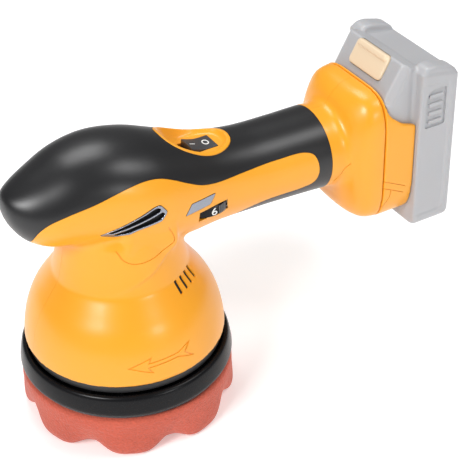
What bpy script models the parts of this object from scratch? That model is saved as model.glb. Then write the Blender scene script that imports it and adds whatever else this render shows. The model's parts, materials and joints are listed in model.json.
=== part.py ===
"""Cordless rotary polisher: a vertical motor and planetary drive under a grip, with a slide-on battery.

Sizes are millimetres and become metres where a mesh is made. The origin is the centre of the pad's
working face, +Z runs up the spindle and +X along the handle towards the battery. The two housing
shells meet at the plane y = 0.
"""

from math import acos, atan2, cos, pi, sin, tan

import bmesh
import bpy
from mathutils import Matrix, Vector

MM = 0.001
COLLECTION = "rotary_polisher"

# Gaps between neighbours.
CLEAR = 0.3
TURN_CLEAR = 0.6

# Pad, loop disc and backing plate.
PAD_RADIUS = 62.0
PAD_THICKNESS = 27.2
LOOP_DISC_RADIUS = 60.0
LOOP_DISC_THICKNESS = 3.2
PLATE_RADIUS = 62.5
PLATE_TOP_RADIUS = 59.1
PLATE_HEIGHT = 12.0
PLATE_WEB = 5.0
PLATE_HUB_RADIUS = 13.0
PLATE_BOLT_RADIUS = 3.0
PLATE_BOLT_LENGTH = 18.0

# Housing.
DOME_RADIUS = 58.7
DOME_WALL = 3.0
DOME_SIDES = 28
DOME_LIFT = 5.5
SHELF_HEIGHT = 3.7
SHELF_INNER_RADIUS = 38.0
FLANGE_THICKNESS = 3.0
GRIP_RADIUS = 25.6
GRIP_AXIS_HEIGHT = 78.5
HANDLE_END = 127.5
OVERMOLD_THICKNESS = 2.5
SHELL_WALL = 2.5
FOOT_END = 156.0
FOOT_HALF_WIDTH = 34.0
FOOT_HALF_HEIGHT = 40.5
FOOT_AXIS_HEIGHT = 76.0

# Drive.
SPINDLE_RADIUS = 7.0
BEARING_WALL = 6.0
BEARING_WIDTH = 6.0
GEAR_MODULE = 1.0
SUN_TEETH = 12
PLANET_TEETH = 15
RING_TEETH = 42
PLANETS = 3
GEAR_WIDTH = 10.0
PLANET_PIN_RADIUS = 2.7
MOTOR_RADIUS = 21.0
MOTOR_LENGTH = 51.2
MOTOR_WALL = 1.8
MAGNET_THICKNESS = 3.0
ARMATURE_GAP = 0.6
ARMATURE_SLOTS = 8
MOTOR_CAP_THICKNESS = 4.5
BRUSH_WIDTH = 5.0
BRUSH_HOLDER_WALL = 1.6
BRUSH_HOLDER_ROOM = 3.2
COMMUTATOR_RADIUS = 6.5
SHAFT_RADIUS = 2.5
FAN_RADIUS = 24.0
FAN_HEIGHT = 6.0
FAN_BLADES = 9
CRADLE_HEIGHTS = (14.0, 40.0)
CRADLE_THICKNESS = 3.0

# Controls.
ROCKER_X = 52.7
ROCKER_HALF_LENGTH = 7.6
ROCKER_HALF_WIDTH = 5.9
ROCKER_TILT = 10.0
BEZEL_HALF_LENGTH = 22.0
BEZEL_HALF_WIDTH = 14.5
BEZEL_X = 49.5
BEZEL_FLOOR_HEIGHT = 104.5
BEZEL_WALL = 2.0
DIAL_X = 46.0
DIAL_Y = -13.5
DIAL_HEIGHT = 78.5
DIAL_RADIUS = 15.5
DIAL_THICKNESS = 6.4
DIAL_KNURLS = 24
BOARD_LENGTH = 48.0
BOARD_WIDTH = 30.0
BOARD_THICKNESS = 1.6
SEAT_RIBS = (74.0, 106.0)
GRILLE_DEPTH = 1.6
BADGE_DEPTH = 1.0

# Battery and its receiver.
BATTERY_WIDTH = 75.0
BATTERY_DEPTH = 28.5
BATTERY_HEIGHT = 111.0
BATTERY_BASE_HEIGHT = 21.5
BATTERY_X = 178.5
BATTERY_WALL = 2.2
BLOCK_HALF_WIDTH = 30.0
BLOCK_DEPTH = 17.5
RECEIVER_WALL = 3.7
RAIL_WIDTH = 3.0
RAIL_DEPTH = 2.9
CELL_RADIUS = 9.1
CELL_LENGTH = 65.0
CELLS = 5
CELL_PITCH = 19.0
LATCH_HALF_WIDTH = 15.5
LATCH_LENGTH = 15.0
LATCH_DEPTH = 5.0
LATCH_PROUD = 0.8
LATCH_TRAVEL = 3.0
LATCH_LEAN = 0.59

# Fasteners.
SCREW_RADIUS = 1.5
SCREW_HEAD_RADIUS = 3.0
BOSS_RADIUS = 4.2
SHELL_SCREWS = ((-46.0, 22.0), (31.0, -11.0), (92.0, -14.0), (143.0, -23.0))

# Levels above the pad's working face, each set by what it stands on.
DISC_BASE = PAD_THICKNESS + CLEAR
PLATE_BASE = DISC_BASE + LOOP_DISC_THICKNESS + CLEAR
PLATE_TOP = PLATE_BASE + PLATE_HEIGHT
SKIRT_BASE = PLATE_TOP + TURN_CLEAR
DOME_BASE = PLATE_TOP + DOME_LIFT
SHELF_BASE = DOME_BASE + 5.5
SHELF_TOP = SHELF_BASE + SHELF_HEIGHT
CASE_BASE = SHELF_TOP + CLEAR
SEAL_BASE = DOME_BASE - 0.8
SEAL_HEIGHT = 2.2
LOWER_BEARING_BASE = SEAL_BASE + SEAL_HEIGHT + CLEAR
UPPER_BEARING_BASE = LOWER_BEARING_BASE + BEARING_WIDTH + 4.0
CARRIER_BASE = UPPER_BEARING_BASE + BEARING_WIDTH + TURN_CLEAR
CARRIER_THICKNESS = 3.4
GEAR_BASE = CARRIER_BASE + CARRIER_THICKNESS + 0.4
GEAR_TOP = GEAR_BASE + GEAR_WIDTH
COVER_BASE = GEAR_TOP + 3.7
COVER_THICKNESS = 3.0
SHROUD_BASE = COVER_BASE + COVER_THICKNESS + CLEAR
FAN_BASE = SHROUD_BASE + 1.4
SHROUD_TOP = FAN_BASE + FAN_HEIGHT + 3.5
SHROUD_FLANGE = 2.0
MOTOR_BASE = SHROUD_TOP + CLEAR
MOTOR_TOP = MOTOR_BASE + MOTOR_LENGTH
GRIP_AXIS = DOME_BASE + GRIP_AXIS_HEIGHT
BOARD_BASE = GRIP_AXIS - 1.0
BEZEL_FLOOR = DOME_BASE + BEZEL_FLOOR_HEIGHT
BEZEL_FLOOR_THICKNESS = 2.5
ROCKER_PIVOT = BEZEL_FLOOR - 4.5
DIAL_BASE = DOME_BASE + DIAL_HEIGHT - DIAL_THICKNESS / 2
FOOT_AXIS = DOME_BASE + FOOT_AXIS_HEIGHT
BATTERY_BASE = DOME_BASE + BATTERY_BASE_HEIGHT
BATTERY_TOP = BATTERY_BASE + BATTERY_HEIGHT

BEARING_RADIUS = SPINDLE_RADIUS + BEARING_WALL
NEST_RADIUS = BEARING_RADIUS + CLEAR
SUN_PITCH = GEAR_MODULE * SUN_TEETH / 2
PLANET_PITCH = GEAR_MODULE * PLANET_TEETH / 2
RING_PITCH = GEAR_MODULE * RING_TEETH / 2
ORBIT_RADIUS = SUN_PITCH + PLANET_PITCH
RING_GEAR_RADIUS = RING_PITCH + 5.0 * GEAR_MODULE
CASE_INNER = RING_GEAR_RADIUS + CLEAR
CASE_RADIUS = CASE_INNER + 3.2
FLANGE_RADIUS = SHELF_INNER_RADIUS + 9.0
SHROUD_INNER = FAN_RADIUS + 2.0
SHROUD_RADIUS = SHROUD_INNER + 4.0
PLANET_ANGLES = [2 * pi * k / PLANETS for k in range(PLANETS)]


class Finishes:
    """The part's materials, made once each."""

    made = {}

    @classmethod
    def get(cls, name, colour, roughness, metallic=0.0):
        if name not in cls.made:
            material = bpy.data.materials.new(name)
            material.use_nodes = True
            shader = material.node_tree.nodes["Principled BSDF"]
            shader.inputs["Base Color"].default_value = (*colour, 1.0)
            shader.inputs["Roughness"].default_value = roughness
            shader.inputs["Metallic"].default_value = metallic
            material.diffuse_color = (*colour, 1.0)
            cls.made[name] = material
        return cls.made[name]


def yellow_plastic():
    return Finishes.get("yellow_plastic", (0.98, 0.50, 0.05), 0.35)


def black_rubber():
    return Finishes.get("black_rubber", (0.03, 0.03, 0.032), 0.5)


def black_plastic():
    return Finishes.get("black_plastic", (0.02, 0.02, 0.022), 0.4)


def grey_plastic():
    return Finishes.get("grey_plastic", (0.55, 0.55, 0.56), 0.45)


def cream_plastic():
    return Finishes.get("cream_plastic", (0.95, 0.82, 0.55), 0.45)


def red_foam():
    return Finishes.get("red_foam", (0.72, 0.16, 0.10), 0.9)


def loop_fabric():
    return Finishes.get("loop_fabric", (0.08, 0.08, 0.08), 0.95)


def steel():
    return Finishes.get("steel", (0.60, 0.60, 0.62), 0.3, 1.0)


def aluminium():
    return Finishes.get("aluminium", (0.75, 0.75, 0.77), 0.4, 1.0)


def copper():
    return Finishes.get("copper", (0.80, 0.40, 0.22), 0.35, 1.0)


def ferrite():
    return Finishes.get("ferrite", (0.12, 0.12, 0.13), 0.6)


def circuit_green():
    return Finishes.get("circuit_green", (0.03, 0.25, 0.10), 0.5)


def cell_wrap():
    return Finishes.get("cell_wrap", (0.10, 0.32, 0.55), 0.4)


def clear_scene():
    for obj in list(bpy.data.objects):
        bpy.data.objects.remove(obj, do_unlink=True)
    collection = bpy.data.collections.new(COLLECTION)
    bpy.context.scene.collection.children.link(collection)
    return collection


def link(name, mesh):
    obj = bpy.data.objects.new(name, mesh)
    bpy.data.collections[COLLECTION].objects.link(obj)
    return obj


def from_bmesh(name, bm):
    bmesh.ops.recalc_face_normals(bm, faces=bm.faces)
    mesh = bpy.data.meshes.new(name)
    bm.to_mesh(mesh)
    bm.free()
    return link(name, mesh)


def bake(obj):
    """Replaces the object's data by what its modifiers or its curve settings make of it."""
    graph = bpy.context.evaluated_depsgraph_get()
    mesh = bpy.data.meshes.new_from_object(obj.evaluated_get(graph))
    name, matrix = obj.name, obj.matrix_world.copy()
    bpy.data.objects.remove(obj, do_unlink=True)
    bm = bmesh.new()
    bm.from_mesh(mesh)
    bmesh.ops.remove_doubles(bm, verts=bm.verts, dist=1e-7)
    bm.transform(matrix)
    bpy.data.meshes.remove(mesh)
    return from_bmesh(name, bm)


def boolean(obj, tool, operation):
    """Applies one exact Boolean and removes the tool."""
    modifier = obj.modifiers.new(operation.lower(), "BOOLEAN")
    modifier.operation = operation
    modifier.solver = "EXACT"
    modifier.object = tool
    bpy.context.view_layer.update()
    graph = bpy.context.evaluated_depsgraph_get()
    mesh = bpy.data.meshes.new_from_object(obj.evaluated_get(graph))
    bm = bmesh.new()
    bm.from_mesh(mesh)
    bmesh.ops.remove_doubles(bm, verts=bm.verts, dist=1e-6)
    bmesh.ops.dissolve_degenerate(bm, edges=bm.edges, dist=1e-6)
    bm.to_mesh(mesh)
    bm.free()
    obj.modifiers.clear()
    old = obj.data
    obj.data = mesh
    bpy.data.meshes.remove(old)
    bpy.data.objects.remove(tool, do_unlink=True)
    return obj


def cut(obj, *tools):
    for tool in tools:
        boolean(obj, tool, "DIFFERENCE")
    return obj


def join(obj, *tools):
    for tool in tools:
        boolean(obj, tool, "UNION")
    return obj


def keep(obj, tool):
    return boolean(obj, tool, "INTERSECT")


def finish(obj, name, material):
    obj.name = name
    obj.data.name = name
    obj.data.materials.clear()
    obj.data.materials.append(material)
    return obj


def at_axis(obj, x, y, z):
    """Moves the object's origin to a point in millimetres and leaves its shape where it is."""
    point = Vector((x, y, z)) * MM
    obj.data.transform(Matrix.Translation(-point))
    obj.location = point
    return obj


def box(x, y, z):
    """A box from three (low, high) pairs."""
    bm = bmesh.new()
    bmesh.ops.create_cube(bm, size=1.0)
    sides = Vector([(high - low) * MM for low, high in (x, y, z)])
    centre = Vector([(high + low) / 2 * MM for low, high in (x, y, z)])
    bmesh.ops.scale(bm, vec=sides, verts=bm.verts)
    bmesh.ops.translate(bm, vec=centre, verts=bm.verts)
    return from_bmesh("box", bm)


AXIS_TURNS = {
    "X": Matrix(((0, 0, 1), (1, 0, 0), (0, 1, 0))).to_4x4(),
    "Y": Matrix(((1, 0, 0), (0, 0, -1), (0, 1, 0))).to_4x4(),
    "Z": Matrix.Identity(4),
}


def rod(radius, low, high, centre=(0.0, 0.0), axis="Z", sides=24):
    """A cylinder along an axis. For axis X the centre is (y, z), for Y it is (x, z)."""
    bm = bmesh.new()
    radius_m = radius * MM
    depth = (high - low) * MM
    bmesh.ops.create_cone(
        bm, cap_ends=True, segments=sides, radius1=radius_m, radius2=radius_m, depth=depth
    )
    along = -(low + high) / 2 if axis == "Y" else (low + high) / 2
    bmesh.ops.translate(bm, vec=Vector((centre[0], centre[1], along)) * MM, verts=bm.verts)
    bm.transform(AXIS_TURNS[axis])
    return from_bmesh("rod", bm)


def turned(profile, sides=32):
    """A solid of revolution about Z from an outline of (radius, height) points.

    The outline runs down the outer side. One that starts and ends on the axis closes there, and any
    other is joined end to start.
    """
    bm = bmesh.new()
    points = [bm.verts.new((radius * MM, 0.0, height * MM)) for radius, height in profile]
    for first, second in zip(points, points[1:]):
        bm.edges.new((first, second))
    if profile[0][0] > 0 or profile[-1][0] > 0:
        bm.edges.new((points[-1], points[0]))
    mesh = bpy.data.meshes.new("turned")
    bm.to_mesh(mesh)
    bm.free()
    obj = link("turned", mesh)
    screw = obj.modifiers.new("screw", "SCREW")
    screw.axis = "Z"
    screw.angle = 2 * pi
    screw.steps = sides
    screw.render_steps = sides
    screw.use_merge_vertices = True
    screw.merge_threshold = 0.00001
    bpy.context.view_layer.update()
    return bake(obj)


def tube(outer, inner, low, high, sides=32):
    return turned([(outer, high), (outer, low), (inner, low), (inner, high)], sides)


def plate(outline, low, high, axis="Z"):
    """A flat outline given thickness along an axis. Outline axes are XY, YZ for X and XZ for Y."""
    curve = bpy.data.curves.new("plate", "CURVE")
    curve.dimensions = "2D"
    curve.fill_mode = "BOTH"
    curve.extrude = (high - low) / 2 * MM
    spline = curve.splines.new("POLY")
    spline.points.add(len(outline) - 1)
    for point, (u, v) in zip(spline.points, outline):
        point.co = (u * MM, v * MM, 0.0, 1.0)
    spline.use_cyclic_u = True
    obj = link("plate", curve)
    along = -(low + high) / 2 if axis == "Y" else (low + high) / 2
    obj.matrix_world = AXIS_TURNS[axis] @ Matrix.Translation((0.0, 0.0, along * MM))
    bpy.context.view_layer.update()
    return bake(obj)


def offset_outline(outline, distance):
    """The outline moved outwards by a distance, with mitred corners. It runs counter-clockwise."""
    moved = []
    count = len(outline)
    for index, point in enumerate(outline):
        here = Vector(point)
        before = (here - Vector(outline[index - 1])).normalized()
        after = (Vector(outline[(index + 1) % count]) - here).normalized()
        normal = Vector((before.y + after.y, -before.x - after.x)).normalized()
        share = max(0.4, normal.dot(Vector((before.y, -before.x))))
        moved.append(tuple(here + normal * distance / share))
    return moved


def ring_of(x, axis_z, half_height, half_width, power, count):
    """One superellipse section of the grip, at x, as points in millimetres."""
    points = []
    for index in range(count):
        angle = 2 * pi * (index + 0.5) / count
        across, up = cos(angle), sin(angle)
        y = half_width * abs(across) ** (2 / power) * (1 if across > 0 else -1)
        z = half_height * abs(up) ** (2 / power) * (1 if up > 0 else -1)
        points.append((x, y, axis_z + z))
    return points


def loft(sections):
    """Closed skin through rings of points that all have one count."""
    bm = bmesh.new()
    rings = [[bm.verts.new(Vector(point) * MM) for point in section] for section in sections]
    count = len(rings[0])
    for ring, following in zip(rings, rings[1:]):
        for index in range(count):
            after = (index + 1) % count
            bm.faces.new((ring[index], ring[after], following[after], following[index]))
    bm.faces.new(rings[0])
    bm.faces.new(rings[-1])
    bmesh.ops.triangulate(bm, faces=bm.faces)
    return from_bmesh("loft", bm)


def grip_stations():
    """(x, axis height, half height, half width, power) of each section from nose to foot."""
    radius, axis = GRIP_RADIUS, GRIP_AXIS
    return [
        (-66.0, axis + 27.5, 4.0, 4.5, 2.0),
        (-63.5, axis + 25.0, 9.5, 10.5, 2.0),
        (-57.0, axis + 22.0, 16.5, 18.0, 2.0),
        (-46.0, axis + 21.0, 22.6, 24.0, 2.0),
        (-30.0, axis + 22.5, radius + 1.6, radius + 3.0, 2.1),
        (-10.0, axis + 20.5, radius + 6.0, radius + 7.4, 2.1),
        (12.0, axis + 14.5, radius + 8.0, radius + 8.9, 2.1),
        (34.0, axis + 9.0, radius + 5.0, radius + 5.4, 2.1),
        (56.0, axis + 5.0, radius + 0.8, radius + 1.0, 2.1),
        (80.0, axis + 2.2, radius - 0.6, radius - 0.6, 2.0),
        (104.0, axis + 1.0, radius - 0.6, radius - 0.6, 2.0),
        (HANDLE_END, axis, radius, radius, 2.0),
        (HANDLE_END + 5.0, axis - 0.5, radius + 1.4, radius + 0.6, 2.1),
        (HANDLE_END + 11.0, axis - 1.5, radius + 7.0, radius + 3.0, 2.6),
        (HANDLE_END + 19.0, FOOT_AXIS + 0.3, FOOT_HALF_HEIGHT - 1.8, FOOT_HALF_WIDTH - 2.0, 3.4),
        (FOOT_END, FOOT_AXIS, FOOT_HALF_HEIGHT, FOOT_HALF_WIDTH, 4.5),
    ]


def dome_profile(inset=0.0):
    """(radius, height) from the dome's rim up into the grip, moved in by the inset."""
    steps = [(0.0, 0.0), (9.5, 1.1), (19.5, 3.4), (29.5, 7.7), (37.5, 13.2), (46.5, 19.7)]
    steps += [(58.0, 22.7), (78.0, 27.0)]
    return [(DOME_RADIUS - drop - inset, DOME_BASE + up - inset * 0.4) for up, drop in steps]


def grip_solid(inset=0.0, reach=0.0, count=20):
    """The grip and foot as one loft, moved in by the inset and run past the foot by the reach."""
    sections = []
    for x, axis, half_height, half_width, power in grip_stations():
        moved = x + inset * max(0.0, (-30.0 - x) / 36.0)
        height = max(0.6, half_height - inset)
        width = max(0.6, half_width - inset)
        sections.append(ring_of(moved, axis, height, width, power, count))
    if reach:
        sections.append([(x + reach, y, z) for x, y, z in sections[-1]])
    return loft(sections)


def dome_solid(inset=0.0):
    profile = dome_profile(inset)
    return turned([(0.0, profile[-1][1])] + profile[::-1] + [(0.0, profile[0][1])], DOME_SIDES)


def housing_solid(inset=0.0, reach=0.0):
    return join(grip_solid(inset, reach), dome_solid(inset))


def overmold_outline():
    """The grip cover's outline seen from the side: over the top, round the handle end and back below."""
    axis, end = GRIP_AXIS, HANDLE_END
    flank = [
        (-75.0, axis - 10.0), (-53.0, axis + 1.0), (-55.0, axis + 17.0), (-50.0, axis + 22.5),
        (-40.0, axis + 26.6), (-27.0, axis + 30.0), (-10.0, axis + 34.3), (3.0, axis + 35.3),
        (13.0, axis + 33.6), (22.0, axis + 29.4), (30.0, axis + 24.6), (40.0, axis + 19.3),
        (52.0, axis + 16.0), (70.0, axis + 14.8),
    ]
    tongue = [
        (end - 16.5, axis + 13.0), (end - 11.5, axis + 10.6), (end - 9.2, axis + 6.0),
        (end - 9.2, axis - 4.0), (end - 12.0, axis - 8.2), (end - 20.0, axis - 9.8),
        (84.0, axis - 9.9), (73.0, axis - 12.0), (63.0, axis - 16.5), (55.0, axis - 25.0),
    ]
    outside = [
        (55.0, axis - 36.0), (end - CLEAR / 2, axis - 36.0), (end - CLEAR / 2, axis + 70.0),
        (-75.0, axis + 70.0),
    ]
    return flank + tongue + outside


def bezel_outline(grow=0.0, count=22):
    """The switch dish's rim from above: an oval, fuller at the battery end."""
    points = []
    for index in range(count):
        angle = 2 * pi * index / count
        taper = 1.0 - 0.12 * cos(angle + pi)
        x = BEZEL_X + (BEZEL_HALF_LENGTH + grow) * cos(angle)
        points.append((x, (BEZEL_HALF_WIDTH * taper + grow) * sin(angle)))
    return points


def bezel_opening():
    return plate(
        bezel_outline(CLEAR), BEZEL_FLOOR - BEZEL_FLOOR_THICKNESS - CLEAR, GRIP_AXIS + 70.0
    )


def grille_outline():
    """The side vent's frame from the side: a slanted strip that runs to a point at the nose end."""
    axis = GRIP_AXIS
    return [
        (-24.0, axis + 9.5), (-15.5, axis + 6.2), (11.0, axis + 10.6), (14.0, axis + 15.6),
        (9.3, axis + 20.8),
    ]


def badge_outline():
    """The bare plate beside the dial, a leaning strip."""
    axis = GRIP_AXIS
    return [(26.2, axis + 6.3), (43.4, axis + 6.2), (47.6, axis + 11.2), (30.6, axis + 12.2)]


def screw_points():
    return [(x, GRIP_AXIS + height) for x, height in SHELL_SCREWS]


def dome_cavity():
    """The hollow under the dome, narrowed at the shelf that carries the gear case."""
    wall = [(radius, height) for radius, height in dome_profile(DOME_WALL) if height > SHELF_TOP]
    rim = DOME_RADIUS - DOME_WALL - 1.5
    profile = [(0.0, wall[-1][1])] + wall[::-1]
    profile += [(rim - 1.0, SHELF_TOP), (SHELF_INNER_RADIUS, SHELF_TOP)]
    profile += [(SHELF_INNER_RADIUS, SHELF_BASE), (rim, SHELF_BASE), (rim, DOME_BASE - 5.0)]
    return turned(profile + [(0.0, DOME_BASE - 5.0)], DOME_SIDES)


def cradle(height):
    """A ring rib that holds the motor can."""
    low = MOTOR_BASE + height
    return tube(MOTOR_RADIUS + 12.0, MOTOR_RADIUS + CLEAR, low, low + CRADLE_THICKNESS, 20)


def housing_cavity():
    """What the shells leave empty: the grip's hollow and the dome's, less bosses, cradles and ribs."""
    wall = OVERMOLD_THICKNESS + SHELL_WALL
    throat = rod(MOTOR_RADIUS + 2.5, DOME_BASE + 55.0, GRIP_AXIS + 15.0, sides=20)
    hollow = join(grip_solid(wall, 4.0, 14), dome_cavity(), throat)
    for x, z in screw_points():
        cut(hollow, rod(BOSS_RADIUS, -60.0, 60.0, (x, z), "Y", 8))
    for height in CRADLE_HEIGHTS:
        cut(hollow, cradle(height))
    for x in SEAT_RIBS:
        cut(hollow, box((x, x + 2.0), (-40.0, 40.0), (GRIP_AXIS - 40.0, BOARD_BASE - CLEAR)))
    pivot = rod(3.5, GRIP_AXIS - 40.0, DIAL_BASE - CLEAR, (DIAL_X, DIAL_Y), sides=12)
    return cut(hollow, pivot)


def skin_pocket(outline, depth, grow=CLEAR):
    """A shallow pocket in both flanks, under an outline seen from the side."""
    pocket = plate(offset_outline(outline, grow), -60.0, 60.0, "Y")
    return cut(pocket, grip_solid(depth + CLEAR))


def flank_piece(outline, depth, low, high):
    """A plate that lies in such a pocket and follows the flank's curve."""
    piece = keep(plate(outline, low, high, "Y"), grip_solid())
    return cut(piece, grip_solid(depth))


def dome_slots():
    """Four air outlets low on the neck, one behind the other round each flank."""
    slots = []
    for side in (-1, 1):
        for turn in (-66.0, -58.5, -51.0, -43.5):
            angle = turn * pi / 180
            slot = box((20.0, 60.0), (-1.1, 1.1), (SHROUD_BASE + 0.5, SHROUD_BASE + 8.0))
            slot.data.transform(Matrix.Rotation(angle if side < 0 else -angle, 4, "Z"))
            slots.append(slot)
    return slots


def case_screw_points():
    ring = (SHELF_INNER_RADIUS + FLANGE_RADIUS) / 2
    turns = (90.0, 210.0, 330.0)
    return [(ring * cos(turn * pi / 180), ring * sin(turn * pi / 180)) for turn in turns]


def make_shells():
    """The two yellow housing halves with everything that is cut in them."""
    wall = OVERMOLD_THICKNESS
    under_cover = plate(offset_outline(overmold_outline(), CLEAR), -80.0, 80.0, "Y")
    cut(under_cover, grip_solid(wall))
    body = cut(housing_solid(), under_cover, housing_cavity(), bezel_opening())
    window = plate(offset_outline(grille_outline(), -2.2), -50.0, 50.0, "Y")
    cut(body, join(skin_pocket(grille_outline(), GRILLE_DEPTH), window), *dome_slots())
    dial_low, dial_high = DIAL_BASE - CLEAR, DIAL_BASE + DIAL_THICKNESS + CLEAR
    cut(body, rod(DIAL_RADIUS + 0.6, dial_low, dial_high, (DIAL_X, DIAL_Y), sides=28))
    cut(body, box((DIAL_X - 10.0, DIAL_X + 10.0), (-45.0, DIAL_Y), (dial_low, dial_high)))
    for x, y in case_screw_points():
        cut(body, rod(SCREW_RADIUS + CLEAR, SHELF_BASE - 1.0, SHELF_TOP + 1.0, (x, y), sides=8))
    for x, z in screw_points():
        cut(body, rod(SCREW_RADIUS + CLEAR, -9.0, 80.0, (x, z), "Y", 8))
        cut(body, rod(SCREW_HEAD_RADIUS + 0.4, 9.0, 80.0, (x, z), "Y", 12))
    other = body.copy()
    other.data = body.data.copy()
    bpy.data.collections[COLLECTION].objects.link(other)
    left = keep(body, box((-200.0, 300.0), (-100.0, -CLEAR / 2), (0.0, 300.0)))
    badge = keep(skin_pocket(badge_outline(), BADGE_DEPTH), box((0, 90), (-60, 0), (0, 300)))
    cut(left, badge)
    right = keep(other, box((-200.0, 300.0), (CLEAR / 2, 100.0), (0.0, 300.0)))
    finish(left, "body_shell_left", yellow_plastic())
    finish(right, "body_shell_right", yellow_plastic())


def make_overmold():
    """The soft black cover over the grip, in the same two halves."""
    for side, (low, high) in (("left", (-80.0, -CLEAR / 2)), ("right", (CLEAR / 2, 80.0))):
        cover = keep(plate(overmold_outline(), low, high, "Y"), grip_solid())
        cut(cover, grip_solid(OVERMOLD_THICKNESS - CLEAR), bezel_opening())
        finish(cover, "grip_overmold_" + side, black_rubber())


def make_grilles():
    """A metallic frame with two long slots in each flank."""
    axis = GRIP_AXIS
    slots = [
        [(-16.0, axis + 10.6), (8.0, axis + 16.2), (7.6, axis + 18.3), (-18.5, axis + 11.6)],
        [(-13.0, axis + 8.1), (10.2, axis + 12.6), (10.4, axis + 14.6), (-14.5, axis + 9.4)],
    ]
    for side, (low, high) in (("left", (-60.0, 0.0)), ("right", (0.0, 60.0))):
        frame = flank_piece(grille_outline(), GRILLE_DEPTH, low, high)
        cut(frame, *[plate(slot, -70.0, 70.0, "Y") for slot in slots])
        finish(frame, "vent_grille_" + side, aluminium())


def make_badge():
    piece = flank_piece(badge_outline(), BADGE_DEPTH, -60.0, 0.0)
    finish(piece, "side_badge_plate", aluminium())


def make_screws():
    for number, (x, z) in enumerate(screw_points(), 1):
        screw = rod(SCREW_RADIUS, -8.0, 9.5, (x, z), "Y", 8)
        join(screw, rod(SCREW_HEAD_RADIUS, 9.3, 12.0, (x, z), "Y", 12))
        finish(screw, f"shell_screw_{number}", steel())
    top = CASE_BASE + FLANGE_THICKNESS
    for number, (x, y) in enumerate(case_screw_points(), 1):
        screw = rod(SCREW_RADIUS, SHELF_BASE, top + 1.0, (x, y), sides=8)
        join(screw, rod(SCREW_HEAD_RADIUS, top + CLEAR, top + 2.6, (x, y), sides=12))
        finish(screw, f"gear_case_screw_{number}", steel())


def make_skirt():
    """The black ring that closes the dome down to the turning plate."""
    rim = DOME_RADIUS - DOME_WALL - 1.5 - CLEAR
    outer = DOME_RADIUS - 2.0
    profile = [(rim, SHELF_BASE - CLEAR), (rim, DOME_BASE - CLEAR), (outer, DOME_BASE - CLEAR)]
    profile += [(outer, SKIRT_BASE), (rim - 4.0, SKIRT_BASE), (rim - 4.0, SHELF_BASE - CLEAR)]
    finish(turned(profile, DOME_SIDES), "dome_skirt", black_rubber())


def gear_outline(teeth, module, addendum, dedendum, thinning):
    """A gear's outline: four points a tooth, on an involute of 20 degrees at root and tip.

    The thinning is taken off each flank at the pitch circle, and a negative one widens the teeth.
    A tooth is centred on +X.
    """
    pitch = module * teeth / 2
    base = pitch * cos(pi / 9)
    tip, root = pitch + addendum * module, pitch - dedendum * module

    def half_angle(radius):
        roll = acos(min(1.0, base / max(radius, base)))
        start = tan(pi / 9) - pi / 9
        return pi / (2 * teeth) - thinning / pitch + start - (tan(roll) - roll)

    points = []
    for tooth in range(teeth):
        centre = 2 * pi * tooth / teeth
        for radius, side in ((root, -1), (tip, -1), (tip, 1), (root, 1)):
            angle = centre + side * half_angle(radius)
            points.append((radius * cos(angle), radius * sin(angle)))
    return points


def make_gears():
    """Sun, planets and ring of the reduction, in mesh at rest."""
    outline = gear_outline(SUN_TEETH, GEAR_MODULE, 0.85, 1.15, 0.12)
    sun = plate(outline, GEAR_BASE + CLEAR, GEAR_TOP + 2.5)
    cut(sun, rod(SHAFT_RADIUS + 0.15, GEAR_BASE - 5.0, GEAR_TOP + 9.0, sides=16))
    finish(sun, "sun_pinion", steel())
    outline = gear_outline(PLANET_TEETH, GEAR_MODULE, 0.85, 1.15, 0.12)
    for number, angle in enumerate(PLANET_ANGLES, 1):
        planet = plate(outline, GEAR_BASE, GEAR_TOP)
        cut(planet, rod(PLANET_PIN_RADIUS + CLEAR, GEAR_BASE - 5.0, GEAR_TOP + 5.0, sides=16))
        planet.data.transform(Matrix.Translation((ORBIT_RADIUS * MM, 0.0, 0.0)))
        planet.data.transform(Matrix.Rotation(angle, 4, "Z"))
        at_axis(planet, ORBIT_RADIUS * cos(angle), ORBIT_RADIUS * sin(angle), GEAR_BASE)
        finish(planet, f"planet_gear_{number}", steel())
    ring = rod(RING_GEAR_RADIUS, GEAR_BASE, GEAR_TOP + CLEAR, sides=36)
    space = plate(
        gear_outline(RING_TEETH, GEAR_MODULE, 1.15, 0.8, -0.12), GEAR_BASE - 2.0, GEAR_TOP + 2.0
    )
    finish(cut(ring, space), "ring_gear", steel())


def make_gear_case():
    """The fixed metal cup that holds both spindle bearings and the ring gear."""
    outer_nest = NEST_RADIUS + 2.7
    flange_top = CASE_BASE + FLANGE_THICKNESS
    nest_top = UPPER_BEARING_BASE + BEARING_WIDTH
    seat = CASE_INNER - 2.0
    wall_top = COVER_BASE - CLEAR
    profile = [
        (CASE_RADIUS, wall_top), (CASE_RADIUS, flange_top), (FLANGE_RADIUS, flange_top),
        (FLANGE_RADIUS, CASE_BASE), (outer_nest, CASE_BASE), (outer_nest, SEAL_BASE),
        (NEST_RADIUS, SEAL_BASE), (NEST_RADIUS, nest_top), (outer_nest, nest_top),
        (outer_nest, flange_top), (seat, flange_top), (seat, GEAR_BASE - CLEAR),
        (CASE_INNER, GEAR_BASE - CLEAR), (CASE_INNER, wall_top),
    ]
    case = turned(profile, 24)
    for x, y in case_screw_points():
        cut(case, rod(SCREW_RADIUS + CLEAR, CASE_BASE - 2.0, flange_top + 2.0, (x, y), sides=8))
    finish(case, "gear_case", aluminium())
    cover = tube(CASE_RADIUS, 9.0, COVER_BASE, COVER_BASE + COVER_THICKNESS, 24)
    finish(cover, "gear_cover", aluminium())


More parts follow.
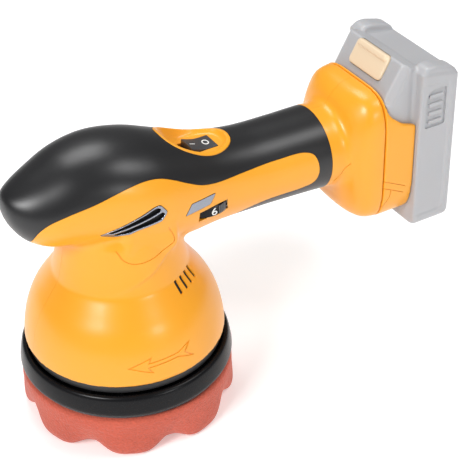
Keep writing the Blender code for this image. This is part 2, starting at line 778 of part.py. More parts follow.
def make_spindle():
    """The output spindle, in one piece with the planet carrier and its three pins."""
    radius = SPINDLE_RADIUS
    top = CARRIER_BASE + CARRIER_THICKNESS
    carrier = ORBIT_RADIUS + PLANET_PIN_RADIUS + 2.8
    foot = PLATE_BASE + 6.0
    neck = PLATE_TOP + 2.9
    shoulder = LOWER_BEARING_BASE - CLEAR
    bore = PLATE_BOLT_RADIUS + CLEAR
    profile = [
        (0.0, top), (carrier, top), (carrier, CARRIER_BASE), (radius, CARRIER_BASE),
        (radius, shoulder), (radius + 1.0, shoulder), (radius + 1.0, neck), (radius - 1.0, neck),
        (radius - 1.0, foot), (bore, foot), (bore, foot + PLATE_BOLT_LENGTH - 4.0),
        (0.0, foot + PLATE_BOLT_LENGTH - 4.0),
    ]
    spindle = turned(profile, 20)
    for angle in PLANET_ANGLES:
        centre = (ORBIT_RADIUS * cos(angle), ORBIT_RADIUS * sin(angle))
        join(spindle, rod(PLANET_PIN_RADIUS, top - 1.0, GEAR_TOP + 1.0, centre, sides=14))
    finish(spindle, "output_spindle", steel())


def make_bearings():
    for name, base in (("lower", LOWER_BEARING_BASE), ("upper", UPPER_BEARING_BASE)):
        bearing = tube(BEARING_RADIUS, SPINDLE_RADIUS + 0.15, base, base + BEARING_WIDTH, 24)
        finish(bearing, f"spindle_bearing_{name}", steel())
    seal = tube(BEARING_RADIUS, SPINDLE_RADIUS + 1.0 + CLEAR, SEAL_BASE, SEAL_BASE + SEAL_HEIGHT, 28)
    finish(seal, "spindle_seal", black_rubber())


def make_plate():
    """The turning backing plate, its bolt, the loop disc and the pad."""
    hub_top = PLATE_TOP + 2.9 - CLEAR
    spindle_foot = PLATE_BASE + 6.0 - CLEAR
    web_top = PLATE_BASE + PLATE_WEB
    head_radius = PLATE_BOLT_RADIUS + 5.0
    bore = SPINDLE_RADIUS - 1.0 + 0.15
    profile = [
        (PLATE_TOP_RADIUS, PLATE_TOP), (PLATE_TOP_RADIUS + 1.6, PLATE_TOP - 1.6),
        (PLATE_RADIUS, PLATE_BASE + 1.2), (PLATE_RADIUS - 0.8, PLATE_BASE),
        (head_radius + CLEAR, PLATE_BASE), (head_radius + CLEAR, PLATE_BASE + 3.8),
        (PLATE_BOLT_RADIUS + CLEAR, PLATE_BASE + 3.8), (PLATE_BOLT_RADIUS + CLEAR, spindle_foot),
        (bore, spindle_foot), (bore, hub_top), (PLATE_HUB_RADIUS, hub_top),
        (PLATE_HUB_RADIUS + 3.0, web_top), (PLATE_TOP_RADIUS - 5.0, web_top),
        (PLATE_TOP_RADIUS - 3.0, PLATE_TOP),
    ]
    finish(turned(profile, 32), "backing_plate", black_plastic())
    bolt_top = PLATE_BASE + 3.8 + PLATE_BOLT_LENGTH - 5.0
    seat = PLATE_BASE + 3.5
    shank = [(0.0, bolt_top), (PLATE_BOLT_RADIUS, bolt_top), (PLATE_BOLT_RADIUS, seat)]
    shank += [(head_radius, seat), (head_radius, PLATE_BASE + 0.3), (0.0, PLATE_BASE + 0.3)]
    bolt = turned(shank, 24)
    socket = rod(PLATE_BOLT_RADIUS, PLATE_BASE - 1.0, PLATE_BASE + 2.3, sides=6)
    finish(cut(bolt, socket), "backing_plate_bolt", steel())
    disc = tube(LOOP_DISC_RADIUS, 10.0, DISC_BASE, DISC_BASE + LOOP_DISC_THICKNESS, 28)
    finish(disc, "hook_and_loop_disc", loop_fabric())
    shape = [(0.0, PAD_THICKNESS), (PAD_RADIUS - 1.0, PAD_THICKNESS), (PAD_RADIUS, PAD_THICKNESS - 2.0)]
    shape += [(PAD_RADIUS, 3.0), (PAD_RADIUS - 3.0, 0.0), (0.0, 0.0)]
    finish(turned(shape, 36), "foam_pad", red_foam())


def make_motor():
    """Can, magnets and end cap of the motor, with its bushes and brushes."""
    inner = MOTOR_RADIUS - MOTOR_WALL
    floor = MOTOR_BASE + 2.0
    bush = SHAFT_RADIUS + 2.6
    profile = [(MOTOR_RADIUS, MOTOR_TOP), (MOTOR_RADIUS, MOTOR_BASE), (bush + 0.2, MOTOR_BASE)]
    profile += [(bush + 0.2, floor), (inner, floor), (inner, MOTOR_TOP)]
    finish(turned(profile, 24), "motor_can", steel())
    for name, side in (("front", -1), ("rear", 1)):
        magnet = tube(inner - CLEAR, inner - MAGNET_THICKNESS, MOTOR_BASE + 8.0, MOTOR_BASE + 42.0)
        span = box((6.0, 40.0), (-40.0, 40.0), (0.0, 300.0))
        span.data.transform(Matrix.Rotation(0.0 if side > 0 else pi, 4, "Z"))
        finish(keep(magnet, span), f"magnet_{name}", ferrite())
    cap_base = MOTOR_TOP + CLEAR
    cap_top = cap_base + MOTOR_CAP_THICKNESS
    holder = (COMMUTATOR_RADIUS + 2.5, inner - BRUSH_HOLDER_ROOM)
    cap = tube(MOTOR_RADIUS, bush + 0.2, cap_base, cap_top, 24)
    for side in (-1, 1):
        low, high = sorted((side * holder[0], side * holder[1]))
        half = BRUSH_WIDTH / 2 + CLEAR
        wide = half + BRUSH_HOLDER_WALL
        lug = box((low, high), (-wide, wide), (cap_base - 9.2, cap_base + 1.0))
        hole = box((low - 1.0, high + 1.0), (-half, half), (cap_base - 7.8, cap_base - 2.2))
        join(cap, cut(lug, hole))
    finish(cap, "motor_end_cap", black_plastic())
    for name, side in (("front", -1), ("rear", 1)):
        low, high = sorted((side * (COMMUTATOR_RADIUS + CLEAR), side * (holder[1] - 1.0)))
        half = BRUSH_WIDTH / 2
        brush = box((low, high), (-half, half), (cap_base - 7.5, cap_base - 2.5))
        finish(brush, f"carbon_brush_{name}", ferrite())
    spans = (("lower", MOTOR_BASE + 0.2, MOTOR_BASE + 5.0), ("upper", cap_base, cap_top + 0.5))
    for name, low, high in spans:
        finish(tube(bush, SHAFT_RADIUS + 0.15, low, high, 20), f"motor_bush_{name}", copper())


def make_rotor():
    """All that turns with the motor shaft."""
    low, high = GEAR_BASE + 1.0, MOTOR_TOP + 6.0
    finish(rod(SHAFT_RADIUS, low, high, sides=16), "motor_shaft", steel())
    core_low, core_high = MOTOR_BASE + 10.0, MOTOR_BASE + 39.0
    radius = MOTOR_RADIUS - MOTOR_WALL - MAGNET_THICKNESS - ARMATURE_GAP
    core = rod(radius, core_low, core_high, sides=24)
    for slot in range(ARMATURE_SLOTS):
        deep = (SHAFT_RADIUS + 5.5, radius - 2.1)
        groove = box(deep, (-1.6, 1.6), (core_low - 1.0, core_high + 1.0))
        mouth = box((deep[1] - 0.5, radius + 14.4), (-0.6, 0.6), (core_low - 1.0, core_high + 1.0))
        join(groove, mouth)
        groove.data.transform(Matrix.Rotation(2 * pi * slot / ARMATURE_SLOTS, 4, "Z"))
        cut(core, groove)
    cut(core, rod(SHAFT_RADIUS + 0.15, core_low - 1.0, core_high + 1.0, sides=16))
    finish(core, "armature_core", copper())
    top = MOTOR_TOP - 1.0
    commutator = tube(COMMUTATOR_RADIUS, SHAFT_RADIUS + 0.15, MOTOR_BASE + 41.0, top, 24)
    finish(commutator, "commutator", copper())
    fan_top, disc_top = FAN_BASE + FAN_HEIGHT, FAN_BASE + 1.2
    hub, bore = SHAFT_RADIUS + 3.5, SHAFT_RADIUS + 0.15
    profile = [(hub, fan_top), (hub, disc_top), (FAN_RADIUS, disc_top), (FAN_RADIUS, FAN_BASE)]
    fan = turned(profile + [(bore, FAN_BASE), (bore, fan_top)], 24)
    for blade in range(FAN_BLADES):
        vane = box((hub - 1.0, FAN_RADIUS - 0.4), (-0.6, 0.6), (FAN_BASE + 0.6, fan_top - 0.3))
        vane.data.transform(Matrix.Rotation(2 * pi * blade / FAN_BLADES, 4, "Z"))
        join(fan, vane)
    finish(fan, "cooling_fan", black_plastic())


def make_shroud():
    """The ring between gear cover and motor, open on four sides for the fan's air."""
    flange = SHROUD_TOP - SHROUD_FLANGE
    profile = [(SHROUD_RADIUS, SHROUD_TOP), (SHROUD_RADIUS, SHROUD_BASE), (SHROUD_INNER, SHROUD_BASE)]
    profile += [(SHROUD_INNER, flange), (SHAFT_RADIUS + 4.0, flange), (SHAFT_RADIUS + 4.0, SHROUD_TOP)]
    shroud = turned(profile, 24)
    for angle in (0.25 * pi, 0.75 * pi, 1.25 * pi, 1.75 * pi):
        air = box((10.0, 60.0), (-12.0, 12.0), (SHROUD_BASE + 1.4, flange - 0.6))
        air.data.transform(Matrix.Rotation(angle, 4, "Z"))
        cut(shroud, air)
    finish(shroud, "fan_shroud", black_plastic())


def make_bezel():
    """The yellow dish round the switch: an oval bowl with a ramp at the nose end."""
    low = BEZEL_FLOOR - BEZEL_FLOOR_THICKNESS
    bowl = keep(plate(bezel_outline(), low, GRIP_AXIS + 70.0), grip_solid())
    ramp = [
        (BEZEL_X - 25.0, BEZEL_FLOOR + 15.5), (BEZEL_X - 18.0, BEZEL_FLOOR + 12.5),
        (BEZEL_X - 8.0, BEZEL_FLOOR), (BEZEL_X + 30.0, BEZEL_FLOOR),
        (BEZEL_X + 30.0, BEZEL_FLOOR + 40.0), (BEZEL_X - 25.0, BEZEL_FLOOR + 40.0),
    ]
    scoop = keep(plate(ramp, -40.0, 40.0, "Y"), plate(bezel_outline(-BEZEL_WALL), 0.0, 400.0))
    cut(bowl, scoop, switch_hole())
    finish(bowl, "switch_bezel", yellow_plastic())


def switch_hole():
    half = ROCKER_HALF_LENGTH + 1.2
    across = ROCKER_HALF_WIDTH + CLEAR
    return box((ROCKER_X - half, ROCKER_X + half), (-across, across), (ROCKER_PIVOT, BEZEL_FLOOR + 5.0))


def make_switch():
    """Rocker, its pin and the switch body under the bezel's floor."""
    swing = ROCKER_HALF_LENGTH + 1.5
    across = ROCKER_HALF_WIDTH + CLEAR
    outer = across + 1.6
    top = BEZEL_FLOOR - BEZEL_FLOOR_THICKNESS - CLEAR
    half = swing + 2.0
    body = box(
        (ROCKER_X - half, ROCKER_X + half), (-outer, outer), (ROCKER_PIVOT - swing - 4.5, top)
    )
    cut(body, rod(swing, -across, across, (ROCKER_X, ROCKER_PIVOT), "Y", 32))
    cut(body, rod(1.35, -20.0, 20.0, (ROCKER_X, ROCKER_PIVOT), "Y", 12))
    finish(body, "switch_body", black_plastic())
    pin = rod(1.2, -outer, outer, (ROCKER_X, ROCKER_PIVOT), "Y", 12)
    finish(pin, "rocker_pin", steel())
    length = ROCKER_HALF_LENGTH
    outline = [(0.0, 4.8), (-length, 5.6)]
    for step in range(7):
        angle = pi + 0.1 + (pi - 0.2) * step / 6
        outline.append((length * cos(angle), length * sin(angle)))
    outline.append((length, 5.6))
    rocker = plate([(x, z) for x, z in outline], -ROCKER_HALF_WIDTH, ROCKER_HALF_WIDTH, "Y")
    cut(rocker, rod(1.35, -20.0, 20.0, (0.0, 0.0), "Y", 12))
    rocker.data.transform(Matrix.Rotation(ROCKER_TILT * pi / 180, 4, "Y"))
    rocker.location = Vector((ROCKER_X, 0.0, ROCKER_PIVOT)) * MM
    finish(rocker, "rocker_switch", black_plastic())


def make_dial():
    """The speed thumbwheel, and the potentiometer that its stub turns in."""
    top = DIAL_BASE + DIAL_THICKNESS
    points = []
    for step in range(2 * DIAL_KNURLS):
        radius = DIAL_RADIUS - (0.5 if step % 2 else 0.0)
        angle = pi * step / DIAL_KNURLS
        points.append((radius * cos(angle), radius * sin(angle)))
    wheel = plate(points, DIAL_BASE, top)
    join(wheel, rod(2.0, top - 1.0, top + 3.4, sides=12))
    wheel.location = Vector((DIAL_X, DIAL_Y, 0.0)) * MM
    finish(wheel, "speed_dial", black_plastic())
    high = ROCKER_PIVOT - ROCKER_HALF_LENGTH - 1.5 - 4.5 - CLEAR
    pot = tube(7.0, 2.3, top + CLEAR, high, 20)
    pot.data.transform(Matrix.Translation(Vector((DIAL_X, DIAL_Y, 0.0)) * MM))
    finish(pot, "dial_potentiometer", circuit_green())


def make_board():
    """The speed control board, on two ribs inside the handle."""
    low = SEAT_RIBS[0] - 6.0
    board = box(
        (low, low + BOARD_LENGTH), (-BOARD_WIDTH / 2, BOARD_WIDTH / 2),
        (BOARD_BASE, BOARD_BASE + BOARD_THICKNESS),
    )
    top = BOARD_BASE + BOARD_THICKNESS - 0.2
    join(board, rod(5.0, top, top + 11.0, (low + 38.0, 6.0), sides=16))
    join(board, box((low + 8.0, low + 20.0), (-9.0, 7.0), (top, top + 6.0)))
    finish(board, "control_board", circuit_green())


def block_outline():
    """The battery's rail block from the side, with the sloped face that carries the latch."""
    back = BATTERY_X + BATTERY_WALL
    front = BATTERY_X - BLOCK_DEPTH
    low = FOOT_AXIS - FOOT_HALF_HEIGHT + 2.4 + CLEAR
    return [
        (front, low), (back, low), (back, BATTERY_TOP + 2.0), (BATTERY_X - 2.7, BATTERY_TOP + 2.0),
        (front, BATTERY_TOP + 2.0 - (BLOCK_DEPTH - 2.7) / LATCH_LEAN),
    ]


def latch_centre():
    """Middle of the latch button on the sloped face, as (x, z)."""
    drop = 10.5
    return BATTERY_X - 2.7 - drop * LATCH_LEAN, BATTERY_TOP + 2.0 - drop


def make_receiver():
    """The yellow collar on the foot, with the two rails that the battery slides on."""
    start = FOOT_END + CLEAR
    stop = BATTERY_X - CLEAR
    section = ring_of(start, FOOT_AXIS, FOOT_HALF_HEIGHT, FOOT_HALF_WIDTH, 4.5, 32)
    sleeve = loft([section, [(stop, y, z) for _, y, z in section]])
    front = BATTERY_X - BLOCK_DEPTH - CLEAR
    low = FOOT_AXIS - FOOT_HALF_HEIGHT + 2.4
    half = BLOCK_HALF_WIDTH + CLEAR
    cut(sleeve, box((front, stop + 5.0), (-half, half), (low, BATTERY_TOP + 20.0)))
    shoulder = [
        (front + 0.5, FOOT_AXIS + 60.0), (front + 0.5, FOOT_AXIS + 29.0), (front + 4.0, FOOT_AXIS + 26.0),
        (stop + 4.0, FOOT_AXIS + 15.0), (stop + 4.0, FOOT_AXIS + 60.0),
    ]
    cut(sleeve, plate(shoulder, -60.0, 60.0, "Y"))
    for side in (-1, 1):
        near, far = sorted((side * (half - RAIL_DEPTH), side * (half + 1.0)))
        middle = front + 9.0
        rail = box((middle, middle + RAIL_WIDTH), (near, far), (low + 4.0, FOOT_AXIS + 13.0))
        join(sleeve, rail)
    finish(sleeve, "battery_receiver", yellow_plastic())


def make_terminals():
    """The contact block on the receiver, with three blades."""
    front = BATTERY_X - BLOCK_DEPTH
    middle = FOOT_AXIS - 10.0
    block = box((front, front + 3.0), (-11.0, 11.0), (middle - 14.0, middle + 14.0))
    for y in (-7.0, 0.0, 7.0):
        blade = box((front + 2.0, front + 9.0), (y - 0.5, y + 0.5), (middle - 10.0, middle + 10.0))
        join(block, blade)
    finish(block, "terminal_block", black_plastic())


def cell_heights():
    middle = BATTERY_BASE + BATTERY_HEIGHT / 2
    return [middle + CELL_PITCH * (index - (CELLS - 1) / 2) for index in range(CELLS)]


def make_battery():
    """The slide-on pack: front case with rail block, rear case, latch button and cells."""
    front, back = BATTERY_X, BATTERY_X + BATTERY_DEPTH
    half = BATTERY_WIDTH / 2
    split = front + BATTERY_DEPTH / 2
    side = [
        (-half, BATTERY_BASE + 5.0), (-half + 5.0, BATTERY_BASE), (half - 5.0, BATTERY_BASE),
        (half, BATTERY_BASE + 5.0), (half, BATTERY_TOP - 5.0), (half - 5.0, BATTERY_TOP),
        (-half + 5.0, BATTERY_TOP), (-half, BATTERY_TOP - 5.0),
    ]
    slab = plate(side, front, back, "X")
    wide = BLOCK_HALF_WIDTH
    join(slab, plate(block_outline(), -wide, wide, "Y"))
    hollow = plate(offset_outline(side, -BATTERY_WALL), front + BATTERY_WALL, back - BATTERY_WALL, "X")
    for y in (-20.0, 20.0):
        rib = box((front, back), (y - 1.0, y + 1.0), (BATTERY_BASE, BATTERY_TOP))
        for height in cell_heights():
            cut(rib, rod(CELL_RADIUS + CLEAR, -60.0, 60.0, (split, height), "Y", 12))
        cut(hollow, rib)
    cut(slab, hollow)
    latch_room = latch_solid(CLEAR, LATCH_DEPTH + LATCH_TRAVEL + CLEAR, 4.0)
    cut(slab, *rail_grooves(), terminal_pocket(), latch_room)
    other = slab.copy()
    other.data = slab.data.copy()
    bpy.data.collections[COLLECTION].objects.link(other)
    rear = keep(slab, box((split + CLEAR / 2, back + 50.0), (-90.0, 90.0), (0.0, 400.0)))
    finish(rear, "battery_case_rear", grey_plastic())
    fore = keep(other, box((front - 60.0, split - CLEAR / 2), (-90.0, 90.0), (0.0, 400.0)))
    finish(fore, "battery_case_front", grey_plastic())
    for number, height in enumerate(cell_heights(), 1):
        cell = rod(CELL_RADIUS - 0.4, -CELL_LENGTH / 2, CELL_LENGTH / 2, (split, height), "Y", 12)
        finish(cell, f"battery_cell_{number}", cell_wrap())
    finish(latch_solid(0.0, LATCH_DEPTH, LATCH_PROUD), "latch_button", cream_plastic())


def rail_grooves():
    """Grooves in the rail block, open at its lower end and as far up as the rails go."""
    grooves = []
    front = BATTERY_X - BLOCK_DEPTH - CLEAR
    for side in (-1, 1):
        near, far = sorted((side * (BLOCK_HALF_WIDTH - RAIL_DEPTH), side * (BLOCK_HALF_WIDTH + 5.0)))
        low = front + 9.0 - CLEAR
        high = front + 9.0 + RAIL_WIDTH + CLEAR
        grooves.append(box((low, high), (near, far), (BATTERY_BASE - 5.0, FOOT_AXIS + 13.0 + CLEAR)))
    return grooves


def terminal_pocket():
    front = BATTERY_X - BLOCK_DEPTH
    low = BATTERY_BASE - 5.0
    return box((front - 5.0, front + 10.0), (-12.0, 12.0), (low, FOOT_AXIS - 10.0 + 14.0 + 0.6))


def latch_solid(grow, depth, proud):
    """A block set square into the sloped face, grown on its sides by a clearance."""
    x, z = latch_centre()
    half = LATCH_HALF_WIDTH + grow
    along = LATCH_LENGTH / 2 + grow
    block = box((-proud, depth), (-half, half), (-along, along))
    lean = atan2(LATCH_LEAN, 1.0)
    block.data.transform(Matrix.Rotation(lean, 4, "Y"))
    block.data.transform(Matrix.Translation(Vector((x, 0.0, z)) * MM))
    return block


def main():
    clear_scene()
    make_shells()
    make_overmold()
    make_grilles()
    make_badge()
    make_screws()
    make_skirt()
    make_gears()
    make_gear_case()
    make_spindle()
    make_bearings()
    make_plate()
    make_motor()
    make_rotor()
    make_shroud()
    make_bezel()
    make_switch()
    make_dial()
    make_board()
    make_receiver()
    make_terminals()
    make_battery()


main()
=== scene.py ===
"""Finished looks of a cordless rotary polisher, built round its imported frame.

Shapes are worked out in millimetres and become metres when an object is made. The origin is the
centre of the pad's working face, +Z runs up the spindle and +X along the handle to the battery.
"""

import json
import logging
import math
from dataclasses import dataclass, field
from enum import Enum
from typing import Sequence

import bmesh
import bpy
import numpy as np
from mathutils import Matrix, Vector


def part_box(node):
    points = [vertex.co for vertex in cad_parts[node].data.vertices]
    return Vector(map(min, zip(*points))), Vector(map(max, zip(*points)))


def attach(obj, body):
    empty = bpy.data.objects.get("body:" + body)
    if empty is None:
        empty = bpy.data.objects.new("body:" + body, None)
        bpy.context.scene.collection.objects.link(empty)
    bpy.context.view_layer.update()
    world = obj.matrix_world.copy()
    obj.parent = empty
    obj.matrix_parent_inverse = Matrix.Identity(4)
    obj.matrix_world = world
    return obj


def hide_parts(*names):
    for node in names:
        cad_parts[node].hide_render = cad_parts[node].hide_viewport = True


Flat = tuple[float, float]
Outline = Sequence[Flat]

MM = 0.001
REACH = 60.0
SIDES = ((-REACH, 0.0), (0.0, REACH))
STILL = (0.0, 0.0, 0.0)
FINE_LINE = 0.45
LINE_DEPTH = 0.5
LOG = logging.getLogger("rotary_polisher")
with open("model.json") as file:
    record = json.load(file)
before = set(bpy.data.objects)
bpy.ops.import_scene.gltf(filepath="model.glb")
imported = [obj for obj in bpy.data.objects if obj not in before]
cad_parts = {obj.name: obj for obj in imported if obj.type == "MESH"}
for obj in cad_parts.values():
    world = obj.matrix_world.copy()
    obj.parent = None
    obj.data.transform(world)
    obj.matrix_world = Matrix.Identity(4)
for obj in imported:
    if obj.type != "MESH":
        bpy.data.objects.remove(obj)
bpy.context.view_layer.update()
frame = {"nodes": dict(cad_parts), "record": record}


def node_box(node: str) -> tuple[Vector, Vector]:
    """The low and high corners of a frame node's box, in millimetres."""
    low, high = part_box(node)
    return Vector(low) / MM, Vector(high) / MM


def node_middle(node: str) -> Vector:
    """The middle of a frame node's box, in millimetres."""
    low, high = node_box(node)
    return (low + high) / 2


SHELL = node_box("body_shell_left")
COVER_END = node_box("grip_overmold_left")[1].x
PAD = node_box("foam_pad")
PLATE = node_box("backing_plate")
WHEEL = node_box("speed_dial")
COLLAR = node_box("battery_receiver")
PACK_FRONT = node_box("battery_case_front")
PACK_REAR = node_box("battery_case_rear")
SCREWS = tuple(node_middle(f"shell_screw_{number}") for number in range(1, 5))
GRIP_AXIS = WHEEL[0].z + 3.2


# ---------------------------------------------------------------------------------- finishes


class Pattern(Enum):
    """How a finish is broken up at close range."""

    GRAIN = "moulded grain"
    BRUSHED = "brushed lines"
    FOAM = "open cells"
    LOOPS = "loop pile"
    WOUND = "wound wire"


DRIFT_SCALE = 26.0
COAT_ROUGHNESS = 0.12
SCATTER = (0.004, 0.002, 0.0012)


@dataclass(frozen=True)
class Finish:
    """One procedural finish. Scales are cells per metre, relief is in millimetres."""

    name: str
    colour: tuple[float, float, float]
    roughness: float
    metallic: float = 0.0
    pattern: Pattern = Pattern.GRAIN
    scale: float = 2200.0
    relief: float = 0.012
    mottle: float = 0.05
    uneven: float = 0.06
    coat: float = 0.0
    sheen: float = 0.0
    specular: float = 0.5
    subsurface: float = 0.0
    stretch: tuple[float, float, float] = (1.0, 1.0, 1.0)

    def material(self) -> bpy.types.Material:
        """The material of this finish, made the first time that it is asked for."""
        found = bpy.data.materials.get(self.name)
        return found if found else self._build()

    def _build(self) -> bpy.types.Material:
        """Builds the node tree: broad mottling, fine relief and uneven gloss.

        Returns:
            The new material.
        """
        material = bpy.data.materials.new(self.name)
        material.use_nodes = True
        material.diffuse_color = (*self.colour, 1.0)
        tree = material.node_tree
        shader = tree.nodes["Principled BSDF"]
        shader.inputs["Metallic"].default_value = self.metallic
        shader.inputs["Specular IOR Level"].default_value = self.specular
        shader.inputs["Coat Weight"].default_value = self.coat
        shader.inputs["Coat Roughness"].default_value = COAT_ROUGHNESS
        shader.inputs["Sheen Weight"].default_value = self.sheen
        shader.inputs["Subsurface Weight"].default_value = self.subsurface
        shader.inputs["Subsurface Radius"].default_value = SCATTER
        shader.inputs["Subsurface Scale"].default_value = 0.6
        place = tree.nodes.new("ShaderNodeTexCoord").outputs["Object"]
        mapping = tree.nodes.new("ShaderNodeMapping")
        mapping.inputs["Scale"].default_value = self.stretch
        tree.links.new(place, mapping.inputs["Vector"])
        height = self._height(tree, mapping.outputs["Vector"])
        self._colour(tree, place, height, shader)
        spread = tree.nodes.new("ShaderNodeMapRange")
        spread.inputs["To Min"].default_value = max(0.02, self.roughness - self.uneven)
        spread.inputs["To Max"].default_value = min(1.0, self.roughness + self.uneven)
        tree.links.new(height, spread.inputs["Value"])
        tree.links.new(spread.outputs["Result"], shader.inputs["Roughness"])
        bump = tree.nodes.new("ShaderNodeBump")
        bump.inputs["Strength"].default_value = 1.0
        bump.inputs["Distance"].default_value = self.relief * MM
        tree.links.new(height, bump.inputs["Height"])
        tree.links.new(bump.outputs["Normal"], shader.inputs["Normal"])
        return material

    def _height(self, tree: bpy.types.NodeTree, place: bpy.types.NodeSocket) -> bpy.types.NodeSocket:
        """The close pattern as a number from 0 to 1.

        Args:
            tree: The material's node tree.
            place: Coordinates in metres, stretched.

        Returns:
            The socket that carries the pattern.
        """
        if self.pattern is Pattern.WOUND:
            wave = tree.nodes.new("ShaderNodeTexWave")
            wave.inputs["Scale"].default_value = self.scale / 20.0
            wave.inputs["Distortion"].default_value = 0.6
            wave.bands_direction = "Z"
            tree.links.new(place, wave.inputs["Vector"])
            return wave.outputs["Fac"]
        if self.pattern in (Pattern.FOAM, Pattern.LOOPS):
            cells = tree.nodes.new("ShaderNodeTexVoronoi")
            cells.inputs["Scale"].default_value = self.scale
            cells.inputs["Randomness"].default_value = 1.0
            tree.links.new(place, cells.inputs["Vector"])
            tuft = tree.nodes.new("ShaderNodeTexNoise")
            tuft.inputs["Scale"].default_value = self.scale * 0.45
            tuft.inputs["Detail"].default_value = 4.0
            tree.links.new(place, tuft.inputs["Vector"])
            mix = tree.nodes.new("ShaderNodeMix")
            mix.inputs["Factor"].default_value = 0.5
            tree.links.new(cells.outputs["Distance"], mix.inputs["A"])
            tree.links.new(tuft.outputs["Fac"], mix.inputs["B"])
            return mix.outputs["Result"]
        noise = tree.nodes.new("ShaderNodeTexNoise")
        noise.inputs["Scale"].default_value = self.scale
        noise.inputs["Detail"].default_value = 3.0
        noise.inputs["Roughness"].default_value = 0.55
        tree.links.new(place, noise.inputs["Vector"])
        return noise.outputs["Fac"]

    def _colour(
        self,
        tree: bpy.types.NodeTree,
        place: bpy.types.NodeSocket,
        height: bpy.types.NodeSocket,
        shader: bpy.types.Node,
    ) -> None:
        """Links the base colour: broad drift of tone, and a darker tone deep in the pattern.

        Args:
            tree: The material's node tree.
            place: Coordinates in metres.
            height: The close pattern.
            shader: The surface shader.
        """
        drift = tree.nodes.new("ShaderNodeTexNoise")
        drift.inputs["Scale"].default_value = DRIFT_SCALE
        drift.inputs["Detail"].default_value = 3.0
        tree.links.new(place, drift.inputs["Vector"])
        deep = 0.45 if self.pattern is Pattern.FOAM else 0.25
        share = tree.nodes.new("ShaderNodeMix")
        share.inputs["Factor"].default_value = deep
        tree.links.new(drift.outputs["Fac"], share.inputs["A"])
        tree.links.new(height, share.inputs["B"])
        tone = tree.nodes.new("ShaderNodeMix")
        tone.data_type = "RGBA"
        low = [max(0.0, part * (1.0 - 2.0 * self.mottle)) for part in self.colour]
        high = [min(1.0, part * (1.0 + 2.0 * self.mottle)) for part in self.colour]
        tone.inputs["A"].default_value = (*low, 1.0)
        tone.inputs["B"].default_value = (*high, 1.0)
        tree.links.new(share.outputs["Result"], tone.inputs["Factor"])
        tree.links.new(tone.outputs["Result"], shader.inputs["Base Color"])


YELLOW = Finish("moulded_yellow", (0.93, 0.385, 0.018), 0.33, coat=0.12, mottle=0.025)
BLACK_RUBBER = Finish(
    "soft_black", (0.007, 0.007, 0.008), 0.36, relief=0.02, scale=3200.0, mottle=0.15, specular=0.6,
)
BLACK_PLASTIC = Finish(
    "moulded_black", (0.006, 0.006, 0.007), 0.26, relief=0.012, mottle=0.12, specular=0.2,
)
# Near-black fill behind the air slots and vent slots: painted shade standing in for the shadowed
# insides of these openings.
DARK_SHADE_FILL = Finish("painted_shade_black", (0.008, 0.008, 0.009), 0.7, relief=0.05, scale=900.0, mottle=0.2)
GREY_PLASTIC = Finish("moulded_grey", (0.45, 0.45, 0.465), 0.36, coat=0.1, subsurface=0.12, mottle=0.02)
CREAM_PLASTIC = Finish("moulded_cream", (0.83, 0.66, 0.46), 0.36, coat=0.15, mottle=0.02)
ROCKER_GREY = Finish("rocker_grey", (0.045, 0.046, 0.050), 0.36, mottle=0.08)
RIB_GREY = Finish("rib_grey", (0.16, 0.16, 0.165), 0.42, mottle=0.08)
GUNMETAL = Finish("gunmetal", (0.30, 0.32, 0.37), 0.24, 1.0, Pattern.BRUSHED, 1800.0, 0.012, 0.1, 0.08)
WHITE_MARK = Finish("marking_white", (0.82, 0.82, 0.80), 0.5, mottle=0.03)
RED_FOAM = Finish(
    "open_cell_foam", (0.58, 0.105, 0.06), 0.9, pattern=Pattern.FOAM, scale=760.0, relief=0.9,
    mottle=0.2, uneven=0.08, sheen=0.2,
)
LOOP_PILE = Finish(
    "loop_pile", (0.05, 0.05, 0.052), 0.95, pattern=Pattern.LOOPS, scale=1300.0, relief=0.5,
    mottle=0.3, uneven=0.04, sheen=0.4,
)
STEEL = Finish(
    "turned_steel", (0.60, 0.60, 0.62), 0.28, 1.0, Pattern.BRUSHED, 1500.0, 0.01, 0.06, 0.08,
    stretch=(1.0, 1.0, 0.08),
)
SCREW_STEEL = Finish("blackened_steel", (0.10, 0.10, 0.105), 0.36, 1.0, mottle=0.12)
ALUMINIUM = Finish(
    "brushed_aluminium", (0.66, 0.67, 0.70), 0.26, 1.0, Pattern.BRUSHED, 1800.0, 0.012, 0.08, 0.08,
    stretch=(0.06, 1.0, 1.0),
)
COPPER = Finish("wound_copper", (0.80, 0.38, 0.20), 0.35, 1.0, Pattern.WOUND, 1600.0, 0.1, 0.12)
FERRITE = Finish("sintered_ferrite", (0.07, 0.07, 0.075), 0.62, relief=0.04, mottle=0.15)
CIRCUIT = Finish("solder_mask", (0.02, 0.20, 0.08), 0.4, relief=0.02, mottle=0.12)
CELL_WRAP = Finish("cell_film", (0.08, 0.28, 0.50), 0.3, coat=0.3, mottle=0.05)

SLOT_FINISHES = {
    "yellow_plastic": YELLOW,
    "black_rubber": BLACK_RUBBER,
    "black_plastic": BLACK_PLASTIC,
    "grey_plastic": GREY_PLASTIC,
    "cream_plastic": CREAM_PLASTIC,
    "red_foam": RED_FOAM,
    "loop_fabric": LOOP_PILE,
    "steel": STEEL,
    "aluminium": ALUMINIUM,
    "copper": COPPER,
    "ferrite": FERRITE,
    "circuit_green": CIRCUIT,
    "cell_wrap": CELL_WRAP,
}


# ------------------------------------------------------------------------------------ shapes


class Axis(Enum):
    """The axis that a flat outline is given thickness along, with where the outline's axes go."""

    X = (1, 2, 0)
    Y = (0, 2, 1)
    Z = (0, 1, 2)


